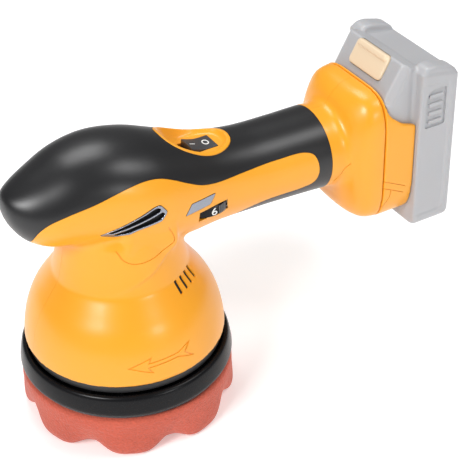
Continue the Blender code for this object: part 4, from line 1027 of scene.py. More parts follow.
@dataclass
class Housing:
    """The two yellow housing halves and the soft black cover over the grip."""

    shape: GripShape = field(default_factory=GripShape)
    cover: float = 2.5
    wall: float = 2.5
    seam: float = 0.22
    voxel: float = 0.95
    split: float = 0.06
    step: float = 1.5
    cheek_half: float = 32.2
    slot_turns: tuple[float, ...] = (-66.0, -58.5, -51.0, -43.5)
    slot_low: float = 88.2
    slot_high: float = 95.8
    slot_half: float = 1.15

    def cover_outline(self) -> list[Flat]:
        """The cover's outline from the side: over the top, round the handle end and back below."""
        a, e = self.shape.axis, self.shape.end
        flank = [
            (-53.0, a + 1.0), (-56.3, a + 8.0), (-55.0, a + 17.0), (-50.0, a + 22.5), (-40.0, a + 26.6),
            (-27.0, a + 30.0), (-10.0, a + 34.3), (3.0, a + 35.3), (13.0, a + 33.6), (22.0, a + 29.4),
            (30.0, a + 24.6), (40.0, a + 19.3), (52.0, a + 16.0), (70.0, a + 14.8), (92.0, a + 14.3),
            (e - 17.5, a + 13.3), (e - 11.5, a + 10.6), (e - 9.2, a + 5.0), (e - 9.2, a - 3.0),
            (e - 12.0, a - 8.0), (e - 19.0, a - 9.8), (96.0, a - 10.0), (84.0, a - 10.2),
            (73.0, a - 12.3), (63.0, a - 17.0), (55.0, a - 25.0),
        ]
        line = [tuple(point) for point in curve_through(flank, 8)]
        edge = e - 0.15
        return [
            (-75.0, a - 12.0), *line, (55.0, a - 36.0), (edge, a - 36.0), (edge, a + 70.0),
            (-75.0, a + 70.0),
        ]

    def skin(self) -> bpy.types.Object:
        """The outside of grip, dome and cheeks as one closed body, its hollows on the head soft."""
        body = join(self.shape.solid(), self.shape.dome(), self.cheek())
        remesh(body, self.voxel)
        relaxer = Relaxer(body).smooth(4)
        weight = relaxer.hollows(0.035, 7)
        on_head = np.clip((110.0 - relaxer.points[:, :1] / MM) / 10.0, 0.0, 1.0)
        relaxer.smooth(70, weight * on_head)
        relaxer.lift(self.cheek_step(relaxer.points / MM))
        relaxer.smooth(2).write()
        return body

    def cheek_step(self, points: np.ndarray) -> np.ndarray:
        """How far the cheeks stand out of the neck, which fades out towards the nose.

        Args:
            points: The skin's points in millimetres.

        Returns:
            A height in millimetres for each point.
        """
        edge = np.array([
            (-24.0, 94.0), (-17.9, 97.9), (2.0, 105.6), (21.4, 117.7), (21.2, 127.9), (20.0, 140.0),
        ])
        flat = points[:, [0, 2]]
        inside = np.full(len(flat), np.inf)
        for start, end in zip(edge[:-1], edge[1:]):
            along = end - start
            share = np.clip(((flat - start) @ along) / (along @ along), 0.0, 1.0)
            away = flat - start - share[:, None] * along
            side = np.sign(along[0] * (flat[:, 1] - start[1]) - along[1] * (flat[:, 0] - start[0]))
            gap = np.linalg.norm(away, axis=1) * side
            inside = np.where(np.abs(gap) < np.abs(inside), gap, inside)
        along_nose = np.clip((flat[:, 0] + 22.0) / 24.0, 0.0, 1.0)
        below_grip = np.clip((136.0 - flat[:, 1]) / 14.0, 0.0, 1.0)
        fade = along_nose * below_grip
        fade = fade * (np.abs(points[:, 1]) > 18.0) * (points[:, 0] < 40.0)
        return self.step * np.clip(inside / 1.3, 0.0, 1.0) * fade

    def cheek(self) -> bpy.types.Object:
        """The flat-sided fairing that carries the grip's flanks down to the dome."""
        outline = [
            (-10.0, 142.0), (-10.0, 102.0), (3.0, 105.4), (19.0, 115.0), (22.0, 119.5),
            (21.6, 129.0), (20.0, 142.0),
        ]
        wide = self.cheek_half
        return rounded_prism(rounded(outline, 2.5), -wide, wide, Axis.Y, 1.6, "cheek")

    def cavity(self) -> bpy.types.Object:
        """What the halves leave empty, less the bosses of their screws."""
        rim = self.shape.dome_radius - 4.5
        wall = [(r, z) for r, z in self.shape.dome_profile(3.0) if z > 57.7]
        bowl = [(0.0, 43.0), (rim, 43.0), (rim, 54.0), (38.0, 54.0), (38.0, 57.7), (rim - 1.0, 57.7)]
        hollow = join(
            self.shape.solid(self.cover + self.wall, 4.0, 48, 3),
            revolve([*bowl, *wall, (0.0, wall[-1][1])], 72),
            rod(23.5, 100.0, 142.0, (0.0, 0.0), Axis.Z, 48),
        )
        for x, z in Fasteners().points():
            cut(hollow, rod(4.2, -60.0, 60.0, (x, z), Axis.Y, 24))
        return hollow

    def under_cover(self, grow: float, depth: float) -> bpy.types.Object:
        """The space that the cover fills, grown by a seam at its edges."""
        room = prism(offset(self.cover_outline(), grow), -80.0, 80.0, Axis.Y)
        return cut(room, self.shape.solid(depth))

    def flank_grooves(self, skin: bpy.types.Object) -> list[bpy.types.Object]:
        """Cutters for the fine lines in both flanks: the cheek's panel and the crease on the foot.

        Args:
            skin: The outside of the housing.

        Returns:
            Closed cutters.
        """
        panel = [
            (14.5, 131.0), (17.6, 124.0), (17.4, 121.0), (13.5, 118.8), (2.5, 115.6),
            (-7.5, 115.4), (-12.5, 118.0), (-15.5, 124.0),
        ]
        crease = [(131.2, 113.5), (133.8, 117.0), (136.0, 122.0), (139.4, 125.4)]
        made = []
        for path, width in ((panel, 0.5), (crease, FINE_LINE)):
            for low, high in SIDES:
                tool = prism(stroke(curve_through(path, 6), width), low, high, Axis.Y)
                made.append(cut(tool, shifted(skin, -LINE_DEPTH)))
        return made

    def dome_groove(self, path: Outline, width: float, depth: float) -> bpy.types.Object:
        """A cutter for a closed line on the dome.

        Args:
            path: Corners as (turn in degrees, height), run counter-clockwise from outside.
            width: The line's width.
            depth: Its depth under the skin.

        Returns:
            A closed cutter.
        """
        profile = np.array(self.shape.dome_profile())
        flat = [(math.radians(turn) * self.shape.dome_radius, height) for turn, height in path]
        rings = []
        half = width / 2
        for grow, lift in ((half, 2.0), (half, -depth), (-half, -depth), (-half, 2.0)):
            ring = []
            for along, height in offset(flat, grow):
                reach = np.interp(height, profile[:, 1], profile[:, 0]) + lift
                turn = along / self.shape.dome_radius
                ring.append((reach * math.cos(turn), reach * math.sin(turn), height))
            rings.append(np.array(ring))
        return loft("groove", rings, joined=True)

    def arrow(self) -> list[Flat]:
        """The way the pad turns, as an outlined arrow on the front of the dome."""
        corners = [
            (-114.6, 61.2), (-101.6, 56.6), (-103.6, 60.0), (-85.6, 61.2), (-75.6, 57.6),
            (-80.6, 62.1), (-76.4, 66.8), (-85.0, 63.6), (-103.2, 62.5), (-101.8, 65.6),
        ]
        dense: list[Flat] = []
        for index, corner in enumerate(corners):
            after = corners[(index + 1) % len(corners)]
            for step in range(6):
                share = step / 6
                dense.append(tuple(c + (n - c) * share for c, n in zip(corner, after)))
        return dense

    def slots(self, half: float) -> bpy.types.Object:
        """Cutters, as one object, for four air outlets on each side of the neck, each half wide."""
        made = None
        for side in (-1, 1):
            for turn in self.slot_turns:
                low, high = self.slot_low, self.slot_high
                outline = rounded([(-half, low), (half, low), (half, high), (-half, high)], 0.5, 3)
                slot = prism(outline, 20.0, REACH, Axis.X)
                angle = math.radians(turn if side < 0 else -turn)
                made = merged(made, moved(slot, Matrix.Rotation(angle, 4, "Z")))
        return made

    def build(self) -> None:
        """Builds and publishes both halves and the cover."""
        skin = self.skin()
        # Dark plugs a little under the skin in the air slots: painted shade for the shadow inside the
        # slots.
        slot_shade = keep(self.slots(self.slot_half - 0.03), shifted(skin, -0.8))
        cut(slot_shade, shifted(skin, -2.4))
        publish(slot_shade, "air_slot_screens", DARK_SHADE_FILL, "housing")
        vents = Vents().pockets(skin)
        grooves = self.flank_grooves(skin)
        Vents().build(skin)
        cover = keep(
            prism(self.cover_outline(), -80.0, 80.0, Axis.Y), copy_of(skin, "cover")
        )
        cut(cover, self.shape.solid(self.cover - 0.2), Dish().opening(0.0))
        publish(
            cover, "grip_cover", BLACK_RUBBER, "housing",
            ("grip_overmold_left", "grip_overmold_right"),
        )
        cut(skin, self.under_cover(self.seam, self.cover), self.cavity(), Dish().opening(0.3))
        cut(skin, self.slots(self.slot_half))
        cut(skin, *vents)
        cut(skin, *Dial().window())
        cut(skin, *Fasteners().holes())
        cut(skin, Badge().pocket(self.shape))
        cut(skin, self.dome_groove(self.arrow(), 0.75, LINE_DEPTH))
        cut(skin, *grooves)
        other = copy_of(skin, "right")
        left = keep(skin, box((-90.0, 200.0), (-100.0, -self.split), (0.0, 300.0)))
        right = keep(other, box((-90.0, 200.0), (self.split, 100.0), (0.0, 300.0)))
        publish(left, "housing_half_left", YELLOW, "housing", ("body_shell_left",))
        publish(right, "housing_half_right", YELLOW, "housing", ("body_shell_right",))


@dataclass
class Fasteners:
    """The four screws that hold the housing halves together."""

    places: tuple[Vector, ...] = SCREWS
    head_radius: float = 3.0
    bore_radius: float = 3.4

    def points(self) -> list[Flat]:
        """Each screw's place as (x, z)."""
        return [(place.x, place.z) for place in self.places]

    def holes(self) -> list[bpy.types.Object]:
        """Cutters for the deep holes that the heads lie in."""
        made = [rod(self.bore_radius, 9.0, 80.0, point, Axis.Y, 32) for point in self.points()]
        return made + [rod(1.8, -9.0, 10.0, point, Axis.Y, 16) for point in self.points()]

    def build(self) -> None:
        """Builds and publishes each screw, with a domed head and a cross in it."""
        for number, (x, z) in enumerate(self.points(), 1):
            profile = [(0.0, -17.2), (0.6, -17.0), (1.45, -15.8), (1.45, 0.3), (self.head_radius, 0.3)]
            profile += [(self.head_radius, 1.5), (2.5, 2.3), (1.4, 2.8), (0.0, 2.95)]
            screw = revolve(profile, 36)
            arm = [(-1.7, 1.2), (1.7, 1.2), (1.7, 4.0), (-1.7, 4.0)]
            cut(screw, prism(arm, -0.35, 0.35, Axis.Y), prism(arm, -0.35, 0.35, Axis.X))
            moved(screw, Matrix.Rotation(-math.pi / 2, 4, "X"))
            moved(screw, Matrix.Translation(Vector((x, 9.0, z)) * MM))
            publish(
                screw, f"housing_screw_{number}", SCREW_STEEL, "housing",
                (f"shell_screw_{number}",),
            )


@dataclass
class Vents:
    """The metal-edged side vents, with dark sheets of painted shade behind them for the shadow inside.
    """

    axis: float = GRIP_AXIS
    depth: float = 1.6
    well: float = 4.4
    screen_top: float = 1.85
    screen_base: float = 3.6

    def outline(self) -> list[Flat]:
        """The frame from the side, rounded, which runs to a point at the nose end."""
        a = self.axis
        corners = [
            (-24.0, a + 9.3), (-15.5, a + 6.0), (10.6, a + 10.4), (14.2, a + 15.2),
            (10.0, a + 20.9), (6.0, a + 20.6),
        ]
        return rounded(corners, 1.6)

    def slots(self) -> list[list[Flat]]:
        """The two long air slots from the side."""
        a = self.axis
        return [
            [
                (-20.0, a + 10.1), (-16.5, a + 9.6), (9.6, a + 17.0), (10.2, a + 18.4),
                (8.0, a + 19.6), (6.2, a + 19.4),
            ],
            [
                (-16.6, a + 8.2), (-14.6, a + 7.3), (10.2, a + 11.7), (12.4, a + 14.4),
                (10.9, a + 16.2),
            ],
        ]

    def pockets(self, skin: bpy.types.Object) -> list[bpy.types.Object]:
        """Cutters for both frames' seats, with a deeper well behind the slots.

        Args:
            skin: The outside of the housing.

        Returns:
            Four closed cutters.
        """
        made = []
        for low, high in SIDES:
            for grow, depth in ((0.2, self.depth + 0.2), (-0.5, self.well)):
                seat = prism(offset(self.outline(), grow), low, high, Axis.Y)
                made.append(cut(seat, shifted(skin, -depth)))
        return made

    def build(self, skin: bpy.types.Object) -> None:
        """Builds and publishes the frames and the dark sheets of painted shade behind them.

        Args:
            skin: The outside of the housing, which they follow.
        """
        for side, (low, high) in zip(("left", "right"), SIDES):
            rim = keep(prism(self.outline(), low, high, Axis.Y), shifted(skin, 0.4))
            cut(rim, shifted(skin, -self.depth))
            for slot in self.slots():
                cut(rim, prism(rounded(slot, 0.8), low, high, Axis.Y))
            softened(rim, 0.26, 2)
            publish(
                rim, f"vent_frame_{side}", GUNMETAL, "housing",
                (f"vent_grille_{side}",), 50.0,
            )
            # A dark sheet just under the frame: painted shade seen through the slots, where the vent's
            # inside would lie in shadow.
            shade_sheet = prism(offset(self.outline(), -0.7), low, high, Axis.Y)
            keep(shade_sheet, shifted(skin, -self.screen_top))
            cut(shade_sheet, shifted(skin, -self.screen_base))
            publish(shade_sheet, f"vent_screen_{side}", DARK_SHADE_FILL, "housing")


@dataclass
class Badge:
    """The bare leaning plate beside the dial."""

    axis: float = GRIP_AXIS
    depth: float = 1.0

    def outline(self) -> list[Flat]:
        """The plate from the side."""
        a = self.axis
        return rounded([(26.2, a + 6.3), (43.4, a + 6.2), (47.6, a + 11.2), (30.6, a + 12.2)], 0.7, 4)

    def pocket(self, shape: GripShape) -> bpy.types.Object:
        """A cutter for the plate's seat."""
        seat = prism(offset(self.outline(), 0.35), *SIDES[0], Axis.Y)
        return cut(seat, shape.solid(self.depth + 0.2))

    def build(self, shape: GripShape) -> None:
        """Builds and publishes the plate.

        Args:
            shape: The grip that it follows.
        """
        plate = keep(prism(self.outline(), *SIDES[0], Axis.Y), shape.solid(-0.1))
        cut(plate, shape.solid(self.depth - 0.2))
        publish(plate, "side_plate", GUNMETAL, "housing", ("side_badge_plate",))


@dataclass
class Dish:
    """The yellow dish round the switch."""

    x: float = 49.5
    half_length: float = 22.0
    half_width: float = 16.2
    floor: float = 153.0
    rim: float = 1.7
    hole_half_length: float = 9.7
    hole_half_width: float = 6.9

    def outline(self, grow: float, count: int = 96) -> list[Flat]:
        """The rim from above: a full oval, a little wider at the nose end.

        Args:
            grow: How far it is grown, in millimetres.
            count: The number of points.

        Returns:
            The outline.
        """
        points = []
        for step in range(count):
            turn = 2 * math.pi * step / count
            across = math.copysign(abs(math.sin(turn)) ** 0.75, math.sin(turn))
            taper = 1.0 - 0.08 * math.cos(turn)
            x = self.x + (self.half_length + grow) * math.cos(turn)
            points.append((x, (self.half_width * taper + grow) * across))
        return points

    def opening(self, grow: float) -> bpy.types.Object:
        """A cutter for the dish's seat in the housing."""
        return prism(self.outline(0.2 + grow), self.floor - 2.8, 200.0, Axis.Z)

    def scoop(self, shape: GripShape) -> bpy.types.Object:
        """The hollow of the dish: steep at the battery end and a long ramp at the nose end.

        Args:
            shape: The grip that the rim lies on.

        Returns:
            A closed cutter.
        """
        middle = self.x + 4.0
        bowl = (
            (0.0, 0.0), (0.2, 0.04), (0.45, 0.2), (0.7, 0.5), (0.88, 0.78), (1.0, 1.0), (1.0, 4.0),
        )
        rings = []
        for share, rise in bowl:
            ring = []
            for x, y in self.outline(-self.rim):
                ramp = 0.44 if x < middle else 0.78
                inner = (middle + (x - middle) * ramp, y * 0.74)
                height = max(2.0, shape.top(x, y) + 0.3 - self.floor) * rise
                ring.append((
                    inner[0] + (x - inner[0]) * share,
                    inner[1] + (y - inner[1]) * share,
                    self.floor + height,
                ))
            rings.append(np.array(ring))
        return loft("scoop", rings)

    def build(self, shape: GripShape) -> None:
        """Builds and publishes the dish.

        Args:
            shape: The grip whose skin its rim follows.
        """
        bowl = keep(prism(self.outline(0.0), self.floor - 2.5, 200.0, Axis.Z), shape.solid(-0.25))
        cut(bowl, self.scoop(shape))
        softened(bowl, 0.38, 2)
        middle, long, wide = Rocker().x, self.hole_half_length, self.hole_half_width
        hole = [
            (middle - long, -wide), (middle + long, -wide),
            (middle + long, wide), (middle - long, wide),
        ]
        cut(bowl, prism(rounded(hole, 0.8, 4), 140.0, 190.0, Axis.Z))
        publish(bowl, "switch_dish", YELLOW, "housing", ("switch_bezel",))


@dataclass
class Rocker:
    """The rocker switch with its off and on marks."""

    x: float = node_middle("rocker_pin").x
    pivot: float = node_middle("rocker_pin").z
    barrel: float = 7.6
    half_length: float = 8.4
    half_width: float = 6.5
    neck_width: float = 5.9
    tilt: float = 10.0

    def place(self, obj: bpy.types.Object) -> bpy.types.Object:
        """Tilts the object from the rocker's own frame and sets it on the pivot."""
        moved(obj, Matrix.Rotation(math.radians(self.tilt), 4, "Y"))
        return moved(obj, Matrix.Translation(Vector((self.x, 0.0, self.pivot)) * MM))

    def build(self) -> None:
        """Builds and publishes the rocker and its two marks."""
        length = self.half_length
        saddle = [
            (length, 6.4), (length * 0.5, 5.65), (0.0, 5.3), (-length * 0.5, 5.65), (-length, 6.4),
        ]
        top = curve_through(saddle, 5)
        turns = np.linspace(-math.pi + 0.1, -0.1, 24)
        under = [(self.barrel * math.cos(a), self.barrel * math.sin(a)) for a in turns]
        outline = [tuple(point) for point in top] + [tuple(point) for point in under]
        rocker = rounded_prism(outline, -self.half_width, self.half_width, Axis.Y, 0.5, "rocker")
        cut(rocker, rod(1.35, -20.0, 20.0, (0.0, 0.0), Axis.Y, 24))
        for low, high in ((-12.0, -self.neck_width), (self.neck_width, 12.0)):
            cut(rocker, box((-12.0, 12.0), (low, high), (-12.0, 3.2)))
        self.place(rocker)
        publish(rocker, "rocker_cap", ROCKER_GREY, "rocker", ("rocker_switch",))
        ring = [np.array([
            (4.0 + r * math.cos(a), 1.3 * r * math.sin(a), h)
            for r, h in ((2.0, 4.0), (2.0, 6.0), (1.35, 6.0), (1.35, 4.0))
        ]) for a in np.linspace(0, 2 * math.pi, 49)[:-1]]
        zero = loft("zero", ring, joined=True)
        bar = rounded([(-6.1, -0.33), (-2.8, -0.33), (-2.8, 0.33), (-6.1, 0.33)], 0.15, 3)
        join(zero, prism(bar, 4.0, 6.0, Axis.Z))
        ink = [(x, z + lift) for lift, line in ((0.12, top), (-0.3, top[::-1])) for x, z in line]
        keep(zero, prism(ink, -9.0, 9.0, Axis.Y))
        self.place(zero)
        publish(zero, "rocker_marks", WHITE_MARK, "rocker")


@dataclass
class Dial:
    """The speed thumbwheel with numbers 1 to 6 between fine ribs."""

    x: float = (WHEEL[0].x + WHEEL[1].x) / 2
    y: float = (WHEEL[0].y + WHEEL[1].y) / 2
    base: float = WHEEL[0].z
    thickness: float = 6.4
    radius: float = (WHEEL[1].x - WHEEL[0].x) / 2
    first: int = 6
    pitch: float = 45.0
    ribs_per_gap: int = 5
    figure_height: float = 6.6
    figure_stretch: float = 1.25

    def window(self) -> list[bpy.types.Object]:
        """Cutters for the wheel's room and its window in the flank."""
        low, high = self.base - 0.3, self.base + self.thickness + 0.3
        room = prism(circle(self.radius + 0.6, (self.x, self.y), 64), low, high, Axis.Z)
        return [room, box((self.x - 10.0, self.x + 10.0), (-45.0, self.y), (low, high))]

    def number(self, value: int) -> bpy.types.Object:
        """One number wrapped on the wheel's rim, standing a little proud.

        Args:
            value: The number.

        Returns:
            The number's mesh, in place.
        """
        curve = bpy.data.curves.new("number", "FONT")
        curve.body = str(value)
        curve.size = self.figure_height * MM
        curve.extrude = 0.12 * MM
        curve.align_x = "CENTER"
        curve.align_y = "CENTER"
        curve.resolution_u = 4
        flat = bpy.data.objects.new("number", curve)
        bpy.context.scene.collection.objects.link(flat)
        mesh = evaluated_mesh(flat)
        bpy.data.objects.remove(flat, do_unlink=True)
        middle = math.radians(-90.0 + self.pitch * (self.first - value))
        rim = self.radius + 0.02
        for vertex in mesh.vertices:
            across, up, out = vertex.co / MM
            turn = middle + across * self.figure_stretch / rim
            reach = rim + out
            vertex.co = Vector((
                self.x + reach * math.cos(turn), self.y + reach * math.sin(turn),
                self.base + self.thickness / 2 + up,
            )) * MM
        made = bpy.data.objects.new("number", mesh)
        bpy.context.scene.collection.objects.link(made)
        return made

    def build(self, repeat: RepeatTree) -> None:
        """Builds and publishes the wheel, its ribs and its numbers.

        Args:
            repeat: The tree that repeats the ribs.
        """
        top = self.base + self.thickness
        r = self.radius
        profile = [
            (0.0, self.base), (r - 0.8, self.base), (r - 0.25, self.base + 0.5), (r - 0.25, top - 0.5),
            (r - 0.8, top), (2.0, top), (2.0, top + 3.4), (0.0, top + 3.4),
        ]
        wheel = moved(revolve(profile, 96), Matrix.Translation(Vector((self.x, self.y, 0.0)) * MM))
        publish(wheel, "dial_wheel", BLACK_PLASTIC, "dial", ("speed_dial",))
        rib = rounded([(r - 0.5, -0.32), (r + 0.28, -0.22), (r + 0.28, 0.22), (r - 0.5, 0.32)], 0.12, 2)
        ribs = None
        for value in range(self.first):
            start = -90.0 + self.pitch * value + self.pitch * 0.3
            piece = prism(rib, self.base + 0.6, top - 0.6, Axis.Z)
            moved(piece, Matrix.Rotation(math.radians(start), 4, "Z"))
            made = repeat.run(
                piece, self.ribs_per_gap, (self.x, self.y, 0.0), STILL, self.pitch * 0.1, RIB_GREY
            )
            ribs = merged(ribs, made)
        publish(ribs, "dial_ribs", RIB_GREY, "dial")
        numbers = None
        for value in range(1, self.first + 1):
            numbers = merged(numbers, self.number(value))
        publish(numbers, "dial_numbers", WHITE_MARK, "dial")


def merged(first: bpy.types.Object | None, second: bpy.types.Object) -> bpy.types.Object:
    """Puts the second object's faces in the first one's mesh."""
    if first is None:
        return second
    bm = bmesh.new()
    bm.from_mesh(first.data)
    bm.from_mesh(second.data)
    bm.to_mesh(first.data)
    bm.free()
    bpy.data.objects.remove(second, do_unlink=True)
    return first


# ---------------------------------------------------------------------------------- the head


@dataclass
class Head:
    """The turning plate, the black ring above it, the loop disc and the foam pad."""

    pad_radius: float = PAD[1].x
    pad_height: float = PAD[1].z
    plate_base: float = PLATE[0].z
    plate_top: float = PLATE[0].z + 12.0
    steps: int = 192
    rib_count: int = 18
    pad_steps: int = 264
    lobes: int = 8
    trough: float = -3.8
    fill: float = 0.7

    def plate(self) -> None:
        """Builds and publishes the backing plate with its raised lip."""
        base, top = self.plate_base, self.plate_top
        outer = [
            (61.4, base), (62.2, base + 0.3), (62.5, base + 1.1), (62.45, base + 2.4),
            (61.2, top - 2.6), (60.75, top - 1.4), (60.2, top - 0.5), (59.4, top), (58.2, top),
            (57.5, top - 0.4), (57.2, top - 1.2),
        ]
        inner = [
            (55.5, base + 6.2), (54.0, base + 5.0), (16.0, base + 5.0), (13.0, top + 2.6),
            (6.15, top + 2.6), (6.15, base + 5.7), (3.3, base + 5.7), (3.3, base + 3.8),
            (8.3, base + 3.8), (8.3, base),
        ]
        plate = revolve([*outer, *inner], self.steps)
        publish(
            plate, "turning_plate", BLACK_PLASTIC, "spindle", ("backing_plate",),
            40.0,
        )

    def ribs(self, repeat: RepeatTree) -> None:
        """Builds and publishes the stiffening ribs on the plate's web.

        Args:
            repeat: The tree that repeats them.
        """
        low, high = self.plate_base + 4.8, self.plate_base + 8.4
        rib = [(15.0, low), (54.6, low), (53.6, high), (16.0, high + 2.0)]
        piece = prism(rib, -0.9, 0.9, Axis.Y)
        made = repeat.run(
            piece, self.rib_count, STILL, STILL, 360.0 / self.rib_count, BLACK_PLASTIC
        )
        publish(made, "plate_ribs", BLACK_PLASTIC, "spindle")

    def skirt(self) -> None:
        """Builds and publishes the black ring that closes the dome."""
        profile = [
            (49.9, 53.7), (49.9, 43.8), (50.3, 43.6), (56.4, 43.6), (56.9, 44.1), (56.9, 47.9),
            (56.6, 48.2), (53.9, 48.2), (53.9, 53.7),
        ]
        ring = revolve(profile, self.steps)
        publish(ring, "dome_ring", BLACK_RUBBER, "housing", ("dome_skirt",))

    def disc(self) -> None:
        """Builds and publishes the loop-faced disc between plate and pad."""
        profile = [
            (10.0, 27.5), (59.4, 27.5), (60.0, 28.0), (60.1, 29.2), (60.0, 30.3), (59.4, 30.7),
            (10.0, 30.7),
        ]
        disc = revolve(profile, self.steps)
        publish(disc, "loop_disc", LOOP_PILE, "spindle", ("hook_and_loop_disc",))

    def pad(self) -> None:
        """Builds and publishes the convoluted foam pad."""
        r, h = self.pad_radius, self.pad_height
        top = [(r * share, h) for share in np.linspace(0.0, 0.965, 22)]
        edge = [
            (r - 1.2, h - 0.25), (r - 0.2, h - 1.4), (r + 0.2, h * 0.6), (r + 0.6, 9.0),
            (r + 0.5, 4.5), (r - 0.6, 1.4), (r - 3.0, 0.1),
        ]
        side = [tuple(point) for point in curve_through(edge, 6)]
        under = [(r * share, 0.0) for share in np.linspace(0.935, 0.0, 46)]
        pad = revolve([*top, *side, *under], self.pad_steps, "pad")
        sizes = {"radius": r, "depth": 19.0, "ring": 38.0, "bump": 7.0, "scallop": 3.8}
        ConvolutedTree().run(pad, RED_FOAM, self.lobes, self.trough, **sizes)
        publish(pad, "polishing_pad", RED_FOAM, "spindle", ("foam_pad",), 80.0)

    def build(self, repeat: RepeatTree) -> None:
        """Builds every piece of the head.

        Args:
            repeat: The tree that repeats the ribs.
        """
        self.plate()
        self.ribs(repeat)
        self.skirt()
        self.disc()
        self.pad()


# --------------------------------------------------------------------------------- the battery


@dataclass
class Receiver:
    """The yellow collar on the foot that the battery slides into."""

    shape: GripShape = field(default_factory=GripShape)
    stop: float = COLLAR[1].x + 2.0
    half: float = 30.3
    room_base: float = 86.4
    room_start: float = 160.7

    def build(self) -> None:
        """Builds and publishes the collar with its rails and fine lines."""
        start = self.shape.foot_end + 0.3
        foot = self.shape
        section = foot.section(
            start, foot.foot_axis, foot.foot_half, foot.foot_width, foot.foot_power, 160
        )
        rings = [section + np.array([along, 0.0, 0.0]) for along in (0.0, self.stop - start)]
        collar = loft("collar", rings)
        h, low = self.half, self.room_base
        room = rounded([(-h, low), (h, low), (h, 220.0), (-h, 220.0)], 15.5)
        cut(collar, prism(room, self.room_start, 190.0, Axis.X))
        shoulder = [
            (161.2, 190.0), (161.2, 154.5), (164.0, 150.6), (172.0, 144.4), (190.0, 138.4),
            (190.0, 190.0),
        ]
        cut(collar, prism(rounded(shoulder, 2.5), -REACH, REACH, Axis.Y))
        softened(collar, 0.7, 2)
        skin = copy_of(collar, "collar_skin")
        for side in (-1, 1):
            low, high = sorted((side * (self.half - 2.9), side * (self.half + 1.0)))
            join(collar, box((169.7, 172.7), (low, high), (97.0, 137.5)))
        lines = [
            [(158.2, 109.8), (164.0, 107.0), (175.0, 101.2)],
            [(158.2, 105.0), (164.0, 102.2), (174.2, 96.6)],
            [(164.6, 101.6), (164.0, 97.0), (161.0, 92.0), (157.6, 88.6)],
        ]
        for line in lines:
            for low, high in SIDES:
                tool = prism(stroke(curve_through(line, 5), FINE_LINE), low, high, Axis.Y)
                outside = box((150.0, 190.0), (low, high), (80.0, 170.0))
                cut(collar, keep(tool, cut(outside, shifted(skin, -LINE_DEPTH))))
        bpy.data.objects.remove(skin, do_unlink=True)
        publish(collar, "battery_collar", YELLOW, "housing", ("battery_receiver",))


